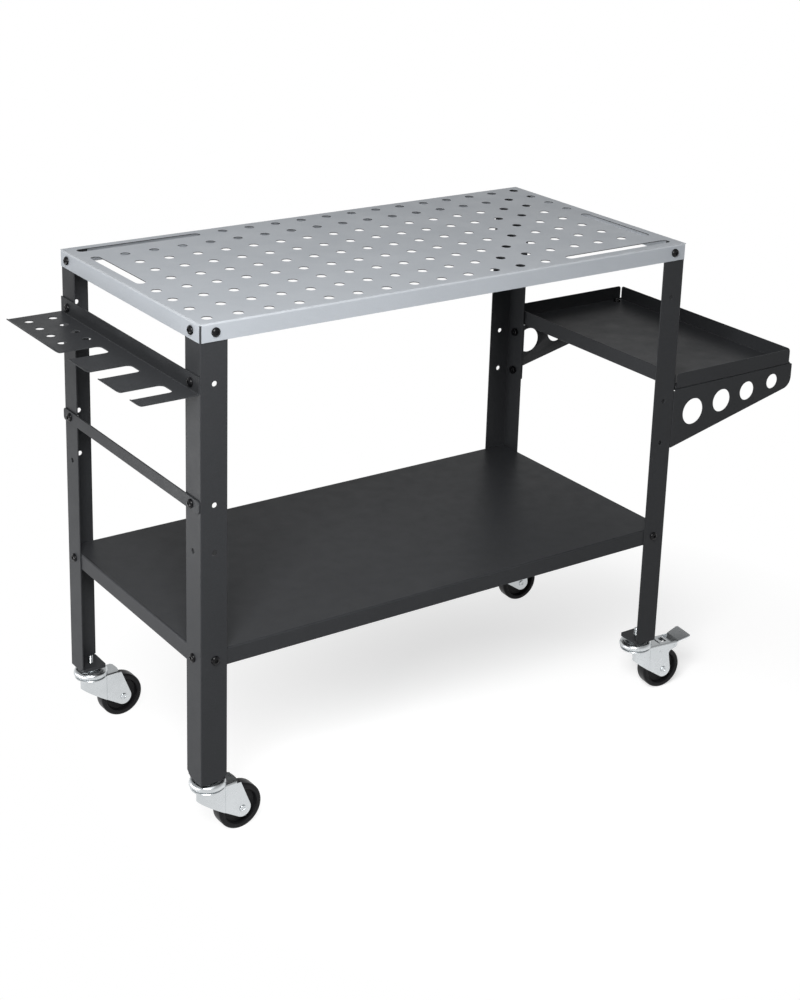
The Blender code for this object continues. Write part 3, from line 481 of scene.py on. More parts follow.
def perforationTree():
    tree, given, out = newTree("perforatedSheet", [
        ("Columns", "Int"), ("Rows", "Int"), ("Pitch", "Float"), ("Hole Diameter", "Float"), ("Hole Sides", "Int"),
        ("Sheet Top", "Float"), ("Row Slot Pitches", "Int"), ("End Slot Pitches", "Int"), ("Finish", "Material")])
    add, value = partial(addNode, tree), partial(valueNode, tree)
    pitch = given["Pitch"]
    spanX, spanY = (value("MULTIPLY", value("SUBTRACT", given[label], 1), pitch) for label in ("Columns", "Rows"))
    grid = add("GeometryNodeMeshGrid", {
        "Size X": spanX, "Size Y": spanY, "Vertices X": given["Columns"], "Vertices Y": given["Rows"]})
    # points that a slot takes, found once from each end
    place = add("ShaderNodeSeparateXYZ", {"Vector": add("GeometryNodeInputPosition", {})["Position"]})
    halfX, halfY = value("MULTIPLY", spanX, 0.5), value("MULTIPLY", spanY, 0.5)
    taken = 0.0
    for side in (1, -1):
        steps = []
        for axis, half, sign in (("X", halfX, side), ("Y", halfY, -side)):
            reach = value("ADD", value("MULTIPLY", place[axis], sign), half)
            steps.append(value("DIVIDE", reach, pitch))  # pitches from the slotted corner
        inRow = value("MULTIPLY", value("LESS_THAN", steps[1], 0.5),
                      value("LESS_THAN", steps[0], value("ADD", given["Row Slot Pitches"], 0.5)))
        inEnd = value("MULTIPLY", value("LESS_THAN", steps[0], 0.5),
                      value("LESS_THAN", steps[1], value("ADD", given["End Slot Pitches"], 1.5)))
        taken = value("MAXIMUM", taken, value("MAXIMUM", inRow, inEnd))
    left = add("GeometryNodeDeleteGeometry", {
        "Geometry": grid["Mesh"], "Selection": value("GREATER_THAN", taken, 0.5)}, domain="POINT")
    punch = add("GeometryNodeMeshCylinder", {
        "Vertices": given["Hole Sides"], "Radius": value("MULTIPLY", given["Hole Diameter"], 0.5),
        "Depth": 0.01})  # right through the sheet
    punches = add("GeometryNodeInstanceOnPoints", {"Points": left["Geometry"], "Instance": punch["Mesh"]})
    real = add("GeometryNodeRealizeInstances", {"Geometry": punches["Instances"]})
    height = add("ShaderNodeCombineXYZ", {"Z": given["Sheet Top"]})
    lift = add("GeometryNodeTransform", {"Geometry": real["Geometry"], "Translation": height["Vector"]})
    cut = add("GeometryNodeMeshBoolean", {"Mesh 1": given["Geometry"], "Mesh 2": lift["Geometry"]},
              operation="DIFFERENCE", solver="EXACT")
    paint = add("GeometryNodeSetMaterial", {"Geometry": cut["Mesh"], "Material": given["Finish"]})
    tree.links.new(paint["Geometry"], out["Geometry"])
    return tree


def foldedPan(name, low, high, sheet, bend, opensUp):
    pan = newPiece(name, prisms(block(low, high)))
    face, openSide = (low.z, high.z + past) if opensUp else (high.z, low.z - past)
    inner = face + (sheet if opensUp else -sheet)
    bendEdges(pan, bend, 5, levelAt(face))
    bottom, top = sorted((inner, openSide))
    inside = block((low.x + sheet, low.y + sheet, bottom), (high.x - sheet, high.y - sheet, top))
    hollowOut(pan, inside, max(bend - sheet, innerBend), levelAt(inner))
    return pan


def cornerGaps(low, high, size, bottom, top):
    shapes = []
    for sx, sy in corners.values():
        xs = (high.x - size, high.x + justPast) if sx > 0 else (low.x - justPast, low.x + size)
        ys = (high.y - size, high.y + justPast) if sy > 0 else (low.y - justPast, low.y + size)
        shapes.append(block((xs[0], ys[0], bottom), (xs[1], ys[1], top)))
    return shapes


def fromEdge(place, low, high):
    return min(place.x - low.x, high.x - place.x, place.y - low.y, high.y - place.y)


def markBend(pan, low, high, bend):
    # the rounded edge between the face of a pan and its flanges
    markFaces(pan, "bend", lambda centre, normal: fromEdge(centre, low, high) < bend and 0.1 < normal.z < 0.992)


def markPunched(top, low, high, sheet):
    # walls of the holes and slots, told from the flanges by their place
    depth = high.z - sheet - 0.0005
    markFaces(top, "punched", lambda centre, normal: (
        fromEdge(centre, low, high) > 0.005 and abs(normal.z) < 0.6 and centre.z > depth))


def makeWorktop(s=worktopSet):
    low, high = atTable("worktop")
    top = foldedPan("worktopSheet", low, high, s["sheet"], s["bend"], False)
    columns = round((high.x - low.x - 2 * s["inset"]) / s["pitch"]) + 1
    rows = round((high.y - low.y - 2 * s["inset"]) / s["pitch"]) + 1
    halfX, halfY = (columns - 1) / 2 * s["pitch"], (rows - 1) / 2 * s["pitch"]
    cuts = cornerGaps(low, high, s["cornerGap"], low.z - past, high.z - s["sheet"] - s["gapStop"])
    for side in (1, -1):
        rowEnds = ((-side * halfX, side * halfY), (side * (s["rowSlot"] * s["pitch"] - halfX), side * halfY))
        endTop = halfY - s["pitch"]
        endEnds = ((-side * halfX, side * (endTop - s["endSlot"] * s["pitch"])), (-side * halfX, side * endTop))
        for ends in (rowEnds, endEnds):
            cuts.append((slotShape(*ends, s["hole"] / 2), "z", high.z - 0.005, high.z + past))
    combine(top, prisms(*cuts))
    giveTree(top, perforationTree(), {
        "Columns": columns, "Rows": rows, "Pitch": s["pitch"], "Hole Diameter": s["hole"],
        "Hole Sides": s["holeSides"], "Sheet Top": high.z, "Row Slot Pitches": s["rowSlot"],
        "End Slot Pitches": s["endSlot"], "Finish": silver})
    bake(top)
    softEdges(top, s["softEdge"])
    markPunched(top, low, high, s["sheet"])
    markBend(top, low, high, s["bend"])
    toTable(top)
    seat(top, "frame", "silver_paint", silver, "worktop")
    print("worktop:", columns, "by", rows, "grid,", len(top.data.polygons), "faces")


makeWorktop()


# legs: an angle with rounded bend, cut lower corners and a thick foot plate

legSet = {"width": 0.044, "sheet": 0.002, "bend": 0.0018, "hole": 0.0084, "holeInset": 0.0231, "holeSides": 24,
          "holeDrops": (0.01365, 0.0905, 0.275, 0.350, 0.522), "cutWide": 0.010, "cutHigh": 0.008, "plate": 0.006,
          "plateHole": 0.0086, "weld": 0.0003, "plateInset": 0.0006, "plateCorner": 0.003, "sideCorner": 0.0008,
          "softEdge": 0.00035}


def makeLeg(corner, s=legSet):
    sx, sy = corners[corner]
    low, high = atTable("leg_" + corner)
    outX, outY = (high.x if sx > 0 else low.x), (high.y if sy > 0 else low.y)
    w, t = s["width"], s["sheet"]
    angle = rounded([(0, 0, s["bend"]), (w, 0, 0), (w, t, 0), (t, t, s["bend"] - t + innerBend), (t, w, 0), (0, w, 0)])
    inward = Matrix(((-sx, 0, 0, outX), (0, -sy, 0, outY), (0, 0, 1, 0), (0, 0, 0, 1)))
    post = newPiece("legAngle_" + corner, moved(prisms((angle, "z", low.z, high.z)), inward))
    # free lower corners, then the row of bolt holes in both flanges
    cuts = []
    for axis in ("x", "y"):
        rise = s["cutHigh"] / s["cutWide"]
        slope = [(w + past, low.z - past), (w + past, low.z + s["cutHigh"] + past * rise),
                 (w, low.z + s["cutHigh"]), (w - s["cutWide"], low.z), (w - s["cutWide"] - past / rise, low.z - past)]
        cuts.append((slope, axis, -past, t + justPast))
    combine(post, moved(prisms(*cuts), inward))
    holes = []
    for drop in s["holeDrops"]:
        for axis in ("x", "y"):
            place = (s["holeInset"], topZ - drop)
            holes.append((ring(place, s["hole"] / 2, s["holeSides"]), axis, -past, t + justPast))
    combine(post, moved(prisms(*holes), inward))
    near, far = t - s["weld"], w - s["plateInset"]
    foot = rounded([(near, near, 0), (far, near, s["sideCorner"]), (far, far, s["plateCorner"]),
                    (near, far, s["sideCorner"])])
    plate = newPiece("plate", moved(prisms((foot, "z", low.z + 0.0001, low.z + s["plate"])), inward))
    middle = s["holeInset"] + s["weld"]
    stemHole = ring((middle, middle), s["plateHole"] / 2, s["holeSides"])
    combine(plate, moved(prisms((stemHole, "z", low.z - past, low.z + 0.02)), inward))
    for item in (post, plate):
        softEdges(item, s["softEdge"])
    bm = bmesh.new()
    bm.from_mesh(post.data)
    bm.from_mesh(plate.data)
    bm.to_mesh(post.data)
    bm.free()
    bpy.data.objects.remove(plate)
    seatBlack(post, "leg_" + corner)


for corner in corners:
    makeLeg(corner)
print("legs made")


# lower shelf

shelfSet = {"sheet": 0.0015, "bend": 0.0030, "cornerGap": 0.0024, "gapStop": 0.0004, "softEdge": 0.0003}


def makeShelf(s=shelfSet):
    low, high = atTable("lower_shelf")
    shelf = foldedPan("shelfPan", low, high, s["sheet"], s["bend"], False)
    gapTop = high.z - s["sheet"] - s["gapStop"]
    combine(shelf, prisms(*cornerGaps(low, high, s["cornerGap"], low.z - past, gapTop)))
    softEdges(shelf, s["softEdge"])
    markBend(shelf, low, high, s["bend"])
    seatBlack(shelf, "lower_shelf")


makeShelf()
print("shelf made")


# tool hanger: bent plate with fingers at the front and a rack of holes at the back

hangerSet = {"sheet": 0.002, "bend": 0.003, "flange": 0.027, "lip": 0.0018, "lipRun": 0.004, "lipBend": 0.006,
             "endFinger": 0.028, "slotWide": 0.0365, "slotDeep": 0.070, "slotCorner": 0.009, "slots": 3,
             "nearCorner": 0.0075, "farCorner": 0.0015, "rackWide": 0.1885, "rackHole": 0.0145, "holeSides": 28,
             "rackPitch": 0.0405, "rackEnd": 0.027, "rackEdge": 0.0265, "rackRows": 2, "rackColumns": 4,
             "softEdge": 0.0003}


def makeHanger(s=hangerSet):
    low, high = atTable("tool_hanger")
    t, outer, inner = s["sheet"], low.x, high.x
    under, upper = high.z - s["flange"], high.z
    section = rounded([
        (inner, upper, 0), (inner, under, s["bend"]), (outer + s["lipRun"], under, s["lipBend"]),
        (outer, under + s["lip"], 0), (outer - t * 0.41, under + s["lip"] + t * 0.91, 0),
        (outer + s["lipRun"] - t * 0.21, under + t, s["lipBend"] - t),
        (inner - t, under + t, s["bend"] - t), (inner - t, upper, 0)])
    section = [(max(x, outer), z) for x, z in section]
    hanger = newPiece("hangerPlate", prisms((section, "y", low.y, high.y)))
    first = low.y + s["endFinger"]
    last = high.y - s["rackWide"] - s["slotWide"]
    edge, beyond, deep = outer - 0.0001, inner + 0.004, outer + s["slotDeep"]
    plan = [(beyond, low.y, 0), (edge, low.y, s["nearCorner"])]
    for i in range(s["slots"]):
        near = first + (last - first) * i / (s["slots"] - 1)
        far = near + s["slotWide"]
        plan += [(edge, near, s["farCorner"]), (deep, near, s["slotCorner"]), (deep, far, s["slotCorner"]),
                 (edge, far, s["nearCorner"])]
    plan += [(edge, high.y, s["farCorner"]), (beyond, high.y, 0)]
    combine(hanger, prisms((rounded(plan, 8), "z", under - 0.01, upper + 0.01)), "INTERSECT")
    holes = []
    for row in range(s["rackRows"]):
        for column in range(s["rackColumns"]):
            centre = (outer + s["rackEdge"] + row * s["rackPitch"], high.y - s["rackEnd"] - column * s["rackPitch"])
            holes.append((ring(centre, s["rackHole"] / 2, s["holeSides"]), "z", under - 0.005, under + 0.008))
    combine(hanger, prisms(*holes))
    softEdges(hanger, s["softEdge"])
    seatBlack(hanger, "tool_hanger")


crossbarSet = {"corner": 0.0055, "softEdge": 0.0004}


def makeCrossbar(s=crossbarSet):
    low, high = atTable("crossbar")
    strip = rect((low.y, low.z), (high.y, high.z), s["corner"])
    bar = newPiece("crossbarStrip", prisms((strip, "x", low.x, high.x)))
    softEdges(bar, s["softEdge"])
    seatBlack(bar, "crossbar")


makeHanger()
makeCrossbar()
print("left end made")


# tray and its brackets

bracketSet = {"sheet": 0.002, "bend": 0.0026, "height": 0.1057, "endHeight": 0.0415, "nose": 0.020, "ledge": 0.025,
              "places": (0.0475, 0.1145, 0.175, 0.236), "holes": (0.047, 0.041, 0.034, 0.027), "relief": 0.0032,
              "endCorner": 0.003, "softEdge": 0.0003}


def makeBracket(side, s=bracketSet):
    node = "tray_bracket_" + side
    sy = 1 if side == "back" else -1
    low, high = atTable(node)
    t, start, end, ledge = s["sheet"], low.x, high.x, high.z
    face = high.y if sy > 0 else low.y
    inward = Matrix(((1, 0, 0, 0), (0, -sy, 0, face), (0, 0, 1, 0), (0, 0, 0, 1)))  # y runs in from the side plate
    wide = high.y - low.y
    slope = (s["height"] - s["endHeight"]) / (end - start)
    lower = lambda reach: ledge - s["height"] + slope * reach
    outline = rounded([(start, lower(0), 0), (end, lower(end - start), s["nose"]), (end, ledge, s["endCorner"]),
                       (start, ledge, 0)], 10)
    body = newPiece("bracketPlate_" + side, prisms((outline, "y", 0.0, wide)))
    onBend = lambda a, b: both(a.y, b.y, 0.0) and (
        both(a.x, b.x, start) or both(a.z, b.z, ledge) and abs(a.x - b.x) > 0.05)  # not the end corner's steps
    bendEdges(body, s["bend"], 5, onBend)
    inside = block((start + t, t, lower(0) - 0.01), (end + 0.01, wide + 0.01, ledge - t))
    hollowOut(body, inside, s["bend"] - t + innerBend, lambda a, b: both(a.y, b.y, t) and (
        both(a.x, b.x, start + t) or both(a.z, b.z, ledge - t)))
    ledgeEnd = rounded([(start + t, s["ledge"], 0), (end - 0.004, s["ledge"], 0), (end + past, s["ledge"] - 0.006, 0),
                        (end + past, wide + 0.01, 0), (start + t, wide + 0.01, 0)])
    combine(body, prisms((ledgeEnd, "z", ledge - t - justPast, ledge + justPast)))
    cuts = [(ring((start + reach, (lower(reach) + ledge) / 2), hole / 2, 40), "y", -0.005, t + 0.004)
            for reach, hole in zip(s["places"], s["holes"])]
    combine(body, prisms(*cuts))
    notch = rect((start - justPast, ledge - s["relief"]), (start + s["relief"], ledge + justPast))
    combine(body, prisms((notch, "y", -justPast, s["relief"])))
    softEdges(body, s["softEdge"])
    body.data.transform(inward)
    if sy > 0:
        body.data.flip_normals()
    seatBlack(body, node)


traySet = {"sheet": 0.0015, "bend": 0.0022, "slit": 0.0027, "slitStart": 0.0006, "rimCorner": 0.005, "softEdge": 0.0003}


def makeTray(s=traySet):
    low, high = atTable("side_tray")
    tray = foldedPan("trayPan", low, high, s["sheet"], s["bend"], True)
    slitLow = low.z + s["bend"] + s["slitStart"]
    combine(tray, prisms(*cornerGaps(low, high, s["slit"], slitLow, high.z + past)))
    # upper corners of the four walls are rounded
    r, cuts = s["rimCorner"], []

    def quarter(a, sa):
        above, turns = high.z + justPast, [k * math.pi / 12 for k in range(7)]
        curve = [(a - sa * r * (1 - math.cos(turn)), high.z - r * (1 - math.sin(turn))) for turn in turns]
        return [(a + sa * justPast, above), (a + sa * justPast, high.z - r)] + curve + [(a - sa * r, above)]

    for sa in (-1, 1):
        endX = (high.x if sa > 0 else low.x) - sa * s["slit"]
        endY = (high.y if sa > 0 else low.y) - sa * s["slit"]
        for wall in (low.y, high.y):
            cuts.append((quarter(endX, sa), "y", wall - 0.004, wall + 0.004))
        for wall in (low.x, high.x):
            cuts.append((quarter(endY, sa), "x", wall - 0.004, wall + 0.004))
    for cut in cuts:
        combine(tray, prisms(cut))
    softEdges(tray, s["softEdge"])
    seatBlack(tray, "side_tray")


for side in ("front", "back"):
    makeBracket(side)
makeTray()
print("right end made")


# bolts: one head and one nut shape, placed by a node tree on every bolt of the frame; the brackets' nuts are dark

boltSet = {"head": 0.014, "headHigh": 0.0042, "nut": 0.0130, "nutHigh": 0.0065, "rim": 0.16, "domeTurn": 62.0,
           "domeIn": 0.2392, "darkNuts": "bracket", "seed": 7}


def headShape(s=boltSet):
    # a button head of unit width and height with a hexagon socket
    full = math.radians(s["domeTurn"])
    dome = [(0.5, 0.0), (0.5, s["rim"])]
    for k in range(1, 7):
        turn = k / 6 * full
        dome.append((0.5 - s["domeIn"] * (1 - math.cos(turn)) / (1 - math.cos(full)),
                     s["rim"] + (1 - s["rim"]) * math.sin(turn) / math.sin(full)))
    socket = [(0.40, 0.985, "hex"), (0.375, 0.90, "hex"), (0.375, 0.38, "hex"), (0.12, 0.30)]
    return turned(dome + socket, 24)


def nutShape():
    # a hexagon nut of unit width and height below its seat, with the bolt's end standing out
    return turned([(0.47, 0.0), (1.0, -0.09, "hex"), (1.0, -0.91, "hex"), (0.47, -1.0), (0.275, -1.0), (0.275, -1.2),
                   (0.225, -1.27)], 24)


def fastenerTree():
    tree, given, out = newTree("placedFasteners", [
        ("Shape", "Object"), ("Width", "Float"), ("Height", "Float"), ("Grip Share", "Float"), ("Seed", "Int"),
        ("Finish", "Material")])
    add = partial(addNode, tree)
    points = add("GeometryNodeMeshToPoints", {"Mesh": given["Geometry"]})
    outward = add("GeometryNodeInputNamedAttribute", {"Name": "outward"}, data_type="FLOAT_VECTOR")["Attribute"]
    grip = add("GeometryNodeInputNamedAttribute", {"Name": "grip"})["Attribute"]
    along = valueNode(tree, "MULTIPLY", grip, given["Grip Share"])
    shift = add("ShaderNodeVectorMath", {0: outward, "Scale": along}, operation="SCALE")
    moveOut = add("GeometryNodeSetPosition", {"Geometry": points["Points"], "Offset": shift["Vector"]})
    spin = add("FunctionNodeRandomValue", {"Max": math.pi / 3, "Seed": given["Seed"]}, data_type="FLOAT")
    turnAbout = add("ShaderNodeCombineXYZ", {"Z": next(socket for socket in spin if socket.enabled)})
    align = add("FunctionNodeAlignRotationToVector", {"Vector": outward}, axis="Z")
    rotate = add("FunctionNodeRotateRotation", {
        "Rotation": align["Rotation"], "Rotate By": turnAbout["Vector"]}, rotation_space="LOCAL")
    size = add("ShaderNodeCombineXYZ", {"X": given["Width"], "Y": given["Width"], "Z": given["Height"]})
    shape = add("GeometryNodeObjectInfo", {"Object": given["Shape"]})
    placed = add("GeometryNodeInstanceOnPoints", {
        "Points": moveOut["Geometry"], "Instance": shape["Geometry"], "Rotation": rotate["Rotation"],
        "Scale": size["Vector"]})
    real = add("GeometryNodeRealizeInstances", {"Geometry": placed["Instances"]})
    paint = add("GeometryNodeSetMaterial", {"Geometry": real["Geometry"], "Material": given["Finish"]})
    tree.links.new(paint["Geometry"], out["Geometry"])
    return tree


def boltSeats(s=boltSet):
    # a bolt's box gives its seat and how much it grips
    seats = []
    for node in sorted(n for n in frame["nodes"] if "_bolt_" in n):
        low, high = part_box(node)
        axis = 2 if node.startswith("tray") else 1 if node.endswith("_side") else 0
        middle = (low + high) / 2
        outward = Vector((0, 0, 0))
        outward[axis] = 1.0 if axis == 2 or (middle - tableMiddle)[axis] > 0 else -1.0
        seatAt = middle.copy()
        seatAt[axis] = (high if outward[axis] > 0 else low)[axis] - outward[axis] * s["headHigh"]
        seats.append((node, seatAt, outward, (high - low)[axis] - s["headHigh"] - s["nutHigh"]))
    return seats


def makeBolts(s=boltSet):
    seats = boltSeats()
    tree = fastenerTree()
    dark = [one for one in seats if one[0].startswith(s["darkNuts"])]
    bright = [one for one in seats if one not in dark]
    for name, chosen, shape, width, high, share, finish, slotName in (
            ("boltHeads", seats, headShape(), s["head"], s["headHigh"], 0.0, oxide, "black_oxide"),
            ("brightNuts", bright, nutShape(), s["nut"], s["nutHigh"], -1.0, zinc, "bright_zinc"),
            ("darkNuts", dark, nutShape(), s["nut"], s["nutHigh"], -1.0, oxide, "black_oxide")):
        pattern = newPiece("pattern", shape)
        softPattern(pattern)
        bm = bmesh.new()
        for _, place, _, _ in chosen:
            bm.verts.new(place)
        placed = newPiece(name, bm)
        facing = placed.data.attributes.new("outward", "FLOAT_VECTOR", "POINT")
        facing.data.foreach_set("vector", [value for _, _, outward, _ in chosen for value in outward])
        held = placed.data.attributes.new("grip", "FLOAT", "POINT")
        held.data.foreach_set("value", [grip for _, _, _, grip in chosen])
        giveTree(placed, tree, {"Shape": pattern, "Width": width, "Height": high, "Grip Share": share,
                                "Seed": s["seed"], "Finish": finish})
        bake(placed)
        bpy.data.objects.remove(pattern)
        nodes = [node for node, *_ in seats] if share == 0.0 else []
        seat(placed, "frame", slotName, finish, *nodes)
    print("bolts:", len(seats))


makeBolts()


# casters, drawn with the stem on z and the wheel trailing along x

casterSet = {"braked": ("front_right", "back_right"), "trail": 0.0525, "wheel": 0.0375, "wheelWide": 0.024,
             "sideGap": 0.0045, "forkSheet": 0.0025, "crown": 0.0874, "crownBend": 0.0034, "crownHole": 0.0092,
             "forkBack": 0.047, "backBow": 0.0065, "forkEnd": 0.014, "forkFront": 0.066, "forkFrontBraked": 0.070,
             "cheekBack": 0.075, "shoulder": 0.020, "step": 0.0014, "nose": 0.0385, "noseBraked": 0.0205,
             "armBack": 0.079, "armEndHigh": 0.0095, "armRoot": 0.060, "armRootHigh": 0.017, "crownBack": 0.066,
             "pin": 0.0725, "pinDrop": 0.006, "rivet": 0.0435, "rivetDrop": 0.0135, "race": 0.0285, "raceLow": 0.0838,
             "raceHigh": 0.0990, "stem": 0.0040, "collar": 0.0150, "stemHead": 0.0085, "threadRoot": 0.00345,
             "threadPitch": 0.0012, "sides": 64, "softEdge": 0.0004,
             # low corner, high corner and corner radius of what is punched in a braked crown
             "windows": (((0.0428, -0.012), (0.0462, 0.0135), 0.0012), ((0.0515, -0.0085), (0.0615, 0.0085), 0.0015))}


def forkHalf(s=casterSet):
    return s["wheelWide"] / 2 + s["sideGap"] + s["forkSheet"]


def tangentFrom(point, centre, radius, side):
    offset = Vector(point) - Vector(centre)
    return math.atan2(offset.y, offset.x) + side * math.acos(radius / offset.length)


def forkSide(braked, s=casterSet):
    axle = (s["trail"], s["wheel"])
    above, front = s["crown"] + past, -forkHalf() - past
    if braked:
        back = [(s["armBack"], above, 0), (s["armBack"], s["crown"] - s["armEndHigh"], 0.005),
                (s["armRoot"] + 0.001, s["crown"] - s["armRootHigh"] + 0.0008, 0.006)]
    else:
        back = [(s["forkBack"], above, 0)]
    nose = (front, s["forkFrontBraked" if braked else "forkFront"])
    start = tangentFrom(back[-1][:2], axle, s["forkEnd"], -1)
    end = tangentFrom(nose, axle, s["forkEnd"], 1) - 2 * math.pi
    bottom = [(x, z, 0) for x, z in arc(axle, s["forkEnd"], start, end, 16)]
    return rounded([(front, above, 0)] + back + bottom + [(*nose, 0)], 6)


def forkPlan(half, nose, back, steps=48, s=casterSet):
    # a long round nose, then flat cheeks that step in behind the shoulder
    shoulder, step = s["shoulder"], s["step"]
    turns = [math.pi * (0.5 + k / steps) for k in range(steps + 1)]
    front = [(shoulder + nose * math.cos(t), half * math.sin(t)) for t in turns]
    flat = [(shoulder + 1.2 * step, half - step), (back, half - step)]
    return front + [(x, -y) for x, y in flat] + flat[::-1]


def makeFork(braked, s=casterSet):
    half, sheet, crown = forkHalf(), s["forkSheet"], s["crown"]
    inner, under = half - sheet, crown - sheet
    back = s["armBack" if braked else "cheekBack"]
    nose = s["noseBraked" if braked else "nose"]
    fork = newPiece("fork", prisms((forkPlan(half, nose, back), "z", 0.0, crown)))
    # every edge of the crown but the straight one across its back
    onTop = lambda z: lambda a, b: min(a.z, b.z) > z - tiny and not (
        abs(a.x - b.x) < tiny and abs(abs(a.y) - abs(b.y)) < tiny and a.x > 0.01)
    bendEdges(fork, s["crownBend"], 5, onTop(crown))
    inside = forkPlan(inner, nose - sheet, back + 0.01)
    hollowOut(fork, (inside, "z", -past, under), s["crownBend"] - sheet, onTop(under))
    combine(fork, prisms((forkSide(braked), "y", -half - past, half + past)), "INTERSECT")
    low, high = under - past, crown + past
    cuts = [(ring((0, 0), s["crownHole"] / 2, 24), "z", crown - 0.006, high)]
    if braked:
        # crown stops short of the pedal; a slot and a square window are punched in it
        wide = inner - s["step"] - 0.0002
        cuts.append((rect((s["crownBack"], -wide), (back + 0.01, wide)), "z", low, high))
        cuts += [(rect(*window), "z", low, high) for window in s["windows"]]
    else:
        # the crown's back edge is a shallow bow
        edge, far = s["forkBack"], s["forkBack"] + 0.01
        curve = [(edge - s["backBow"] * (abs(k) / 10) ** 2.6, half * k / 10) for k in range(-10, 11)]
        bow = [(far, -half - justPast)] + curve + [(far, half + justPast)]
        cuts.append((bow, "z", under - 0.0006, high))
    combine(fork, prisms(*cuts))
    softEdges(fork, s["softEdge"])
    return fork


def raceRing(s=casterSet):
    # a pressed cup over a smaller seat, with a deep groove between them
    high, low, r = s["raceHigh"], s["raceLow"], s["race"]
    profile = [(0.0044, high), (0.0150, high), (0.0165, high - 0.0008), (0.0205, high - 0.0008)]
    profile += arc((r - 0.0063, high - 0.0063), 0.0063, math.radians(86), 0.0, 9)
    profile += [(r, high - 0.0084), (r - 0.0004, high - 0.0089), (r - 0.0052, high - 0.0090),
                (r - 0.0054, high - 0.0118), (r - 0.0024, high - 0.0122), (r - 0.0018, high - 0.0129)]
    profile += [(r - 0.0018, low + 0.0010), (r - 0.0026, low + 0.0002), (0.0200, low), (0.0044, low)]
    return turned(profile, s["sides"], closed=False)


def axleRivet(half):
    # peened ends with a dimple, on a plain pin
    head = [(0.0012, half + 0.0004), (0.0022, half + 0.0006), (0.0030, half + 0.0020), (0.0040, half + 0.0023),
            (0.0052, half + 0.0018), (0.0057, half + 0.0007), (0.0057, half + 0.0003), (0.0040, half + 0.0003)]
    return turned(head + [(r, -z) for r, z in reversed(head)], 32)


def wheelShape(s=casterSet):
    half, r = s["wheelWide"] / 2, s["wheel"]
    side = [(0.0044, half - 0.0030), (0.0085, half - 0.0030), (0.0098, half - 0.0060), (0.0235, half - 0.0085),
            (0.0272, half - 0.0078), (0.0286, half - 0.0016), (0.0293, half - 0.0004), (0.0304, half), (0.0332, half)]
    side += arc((0.0335, half - 0.0040), 0.0040, math.radians(84), math.radians(8), 7)
    side += [(r - 0.00006, half - 0.0068), (r, half - 0.0085)]
    return turned(side + [(a, -z) for a, z in reversed(side)], 72, closed=False)


def stemShape(plate, high, headed, s=casterSet):
    # collar, plain stem and a threaded end of ridges; the short nose of a braked fork leaves no room for a head
    r, head, collar = s["stem"], s["stemHead"], s["collar"]
    seatLow, seatHigh = s["raceLow"] - 0.0003, s["raceHigh"] + 0.0003
    if headed:
        steps = [(head, seatLow - 0.0040), (head, seatLow - 0.0004), (r, seatLow)]
    else:
        steps = [(r - 0.0004, s["crown"] + 0.0006), (r, s["crown"] + 0.0010)]
    # plate is the height of the foot plate's underside
    steps += [(r, seatHigh), (collar - 0.0006, seatHigh), (collar, seatHigh + 0.0005), (collar, plate - 0.0008),
              (collar - 0.0005, plate - 0.0003), (r, plate - 0.0003), (r, plate + 0.0055)]
    z = plate + 0.0060
    while z < high - 0.0016:
        steps += [(r, z), (s["threadRoot"], z + s["threadPitch"] / 2)]
        z += s["threadPitch"]
    steps += [(r - 0.0002, high - 0.0008), (r - 0.0009, high)]
    return turned(steps, 24)


pedalSet = {"sheet": 0.002, "sideGap": 0.0025, "root": 0.009, "rootRise": 0.0065, "pad": 0.025, "slope": 17.0,
            "rootWide": 0.034, "tipWide": 0.043, "corner": 0.0045, "travel": 15.0, "brakeGap": 0.0008,
            "softEdge": 0.0004,
            # radius on the upper and on the lower side, from shoe to tip
            "bends": ((0.0, 0.0), (0.0030, 0.0010), (0.0016, 0.0036), (0.0, 0.0))}


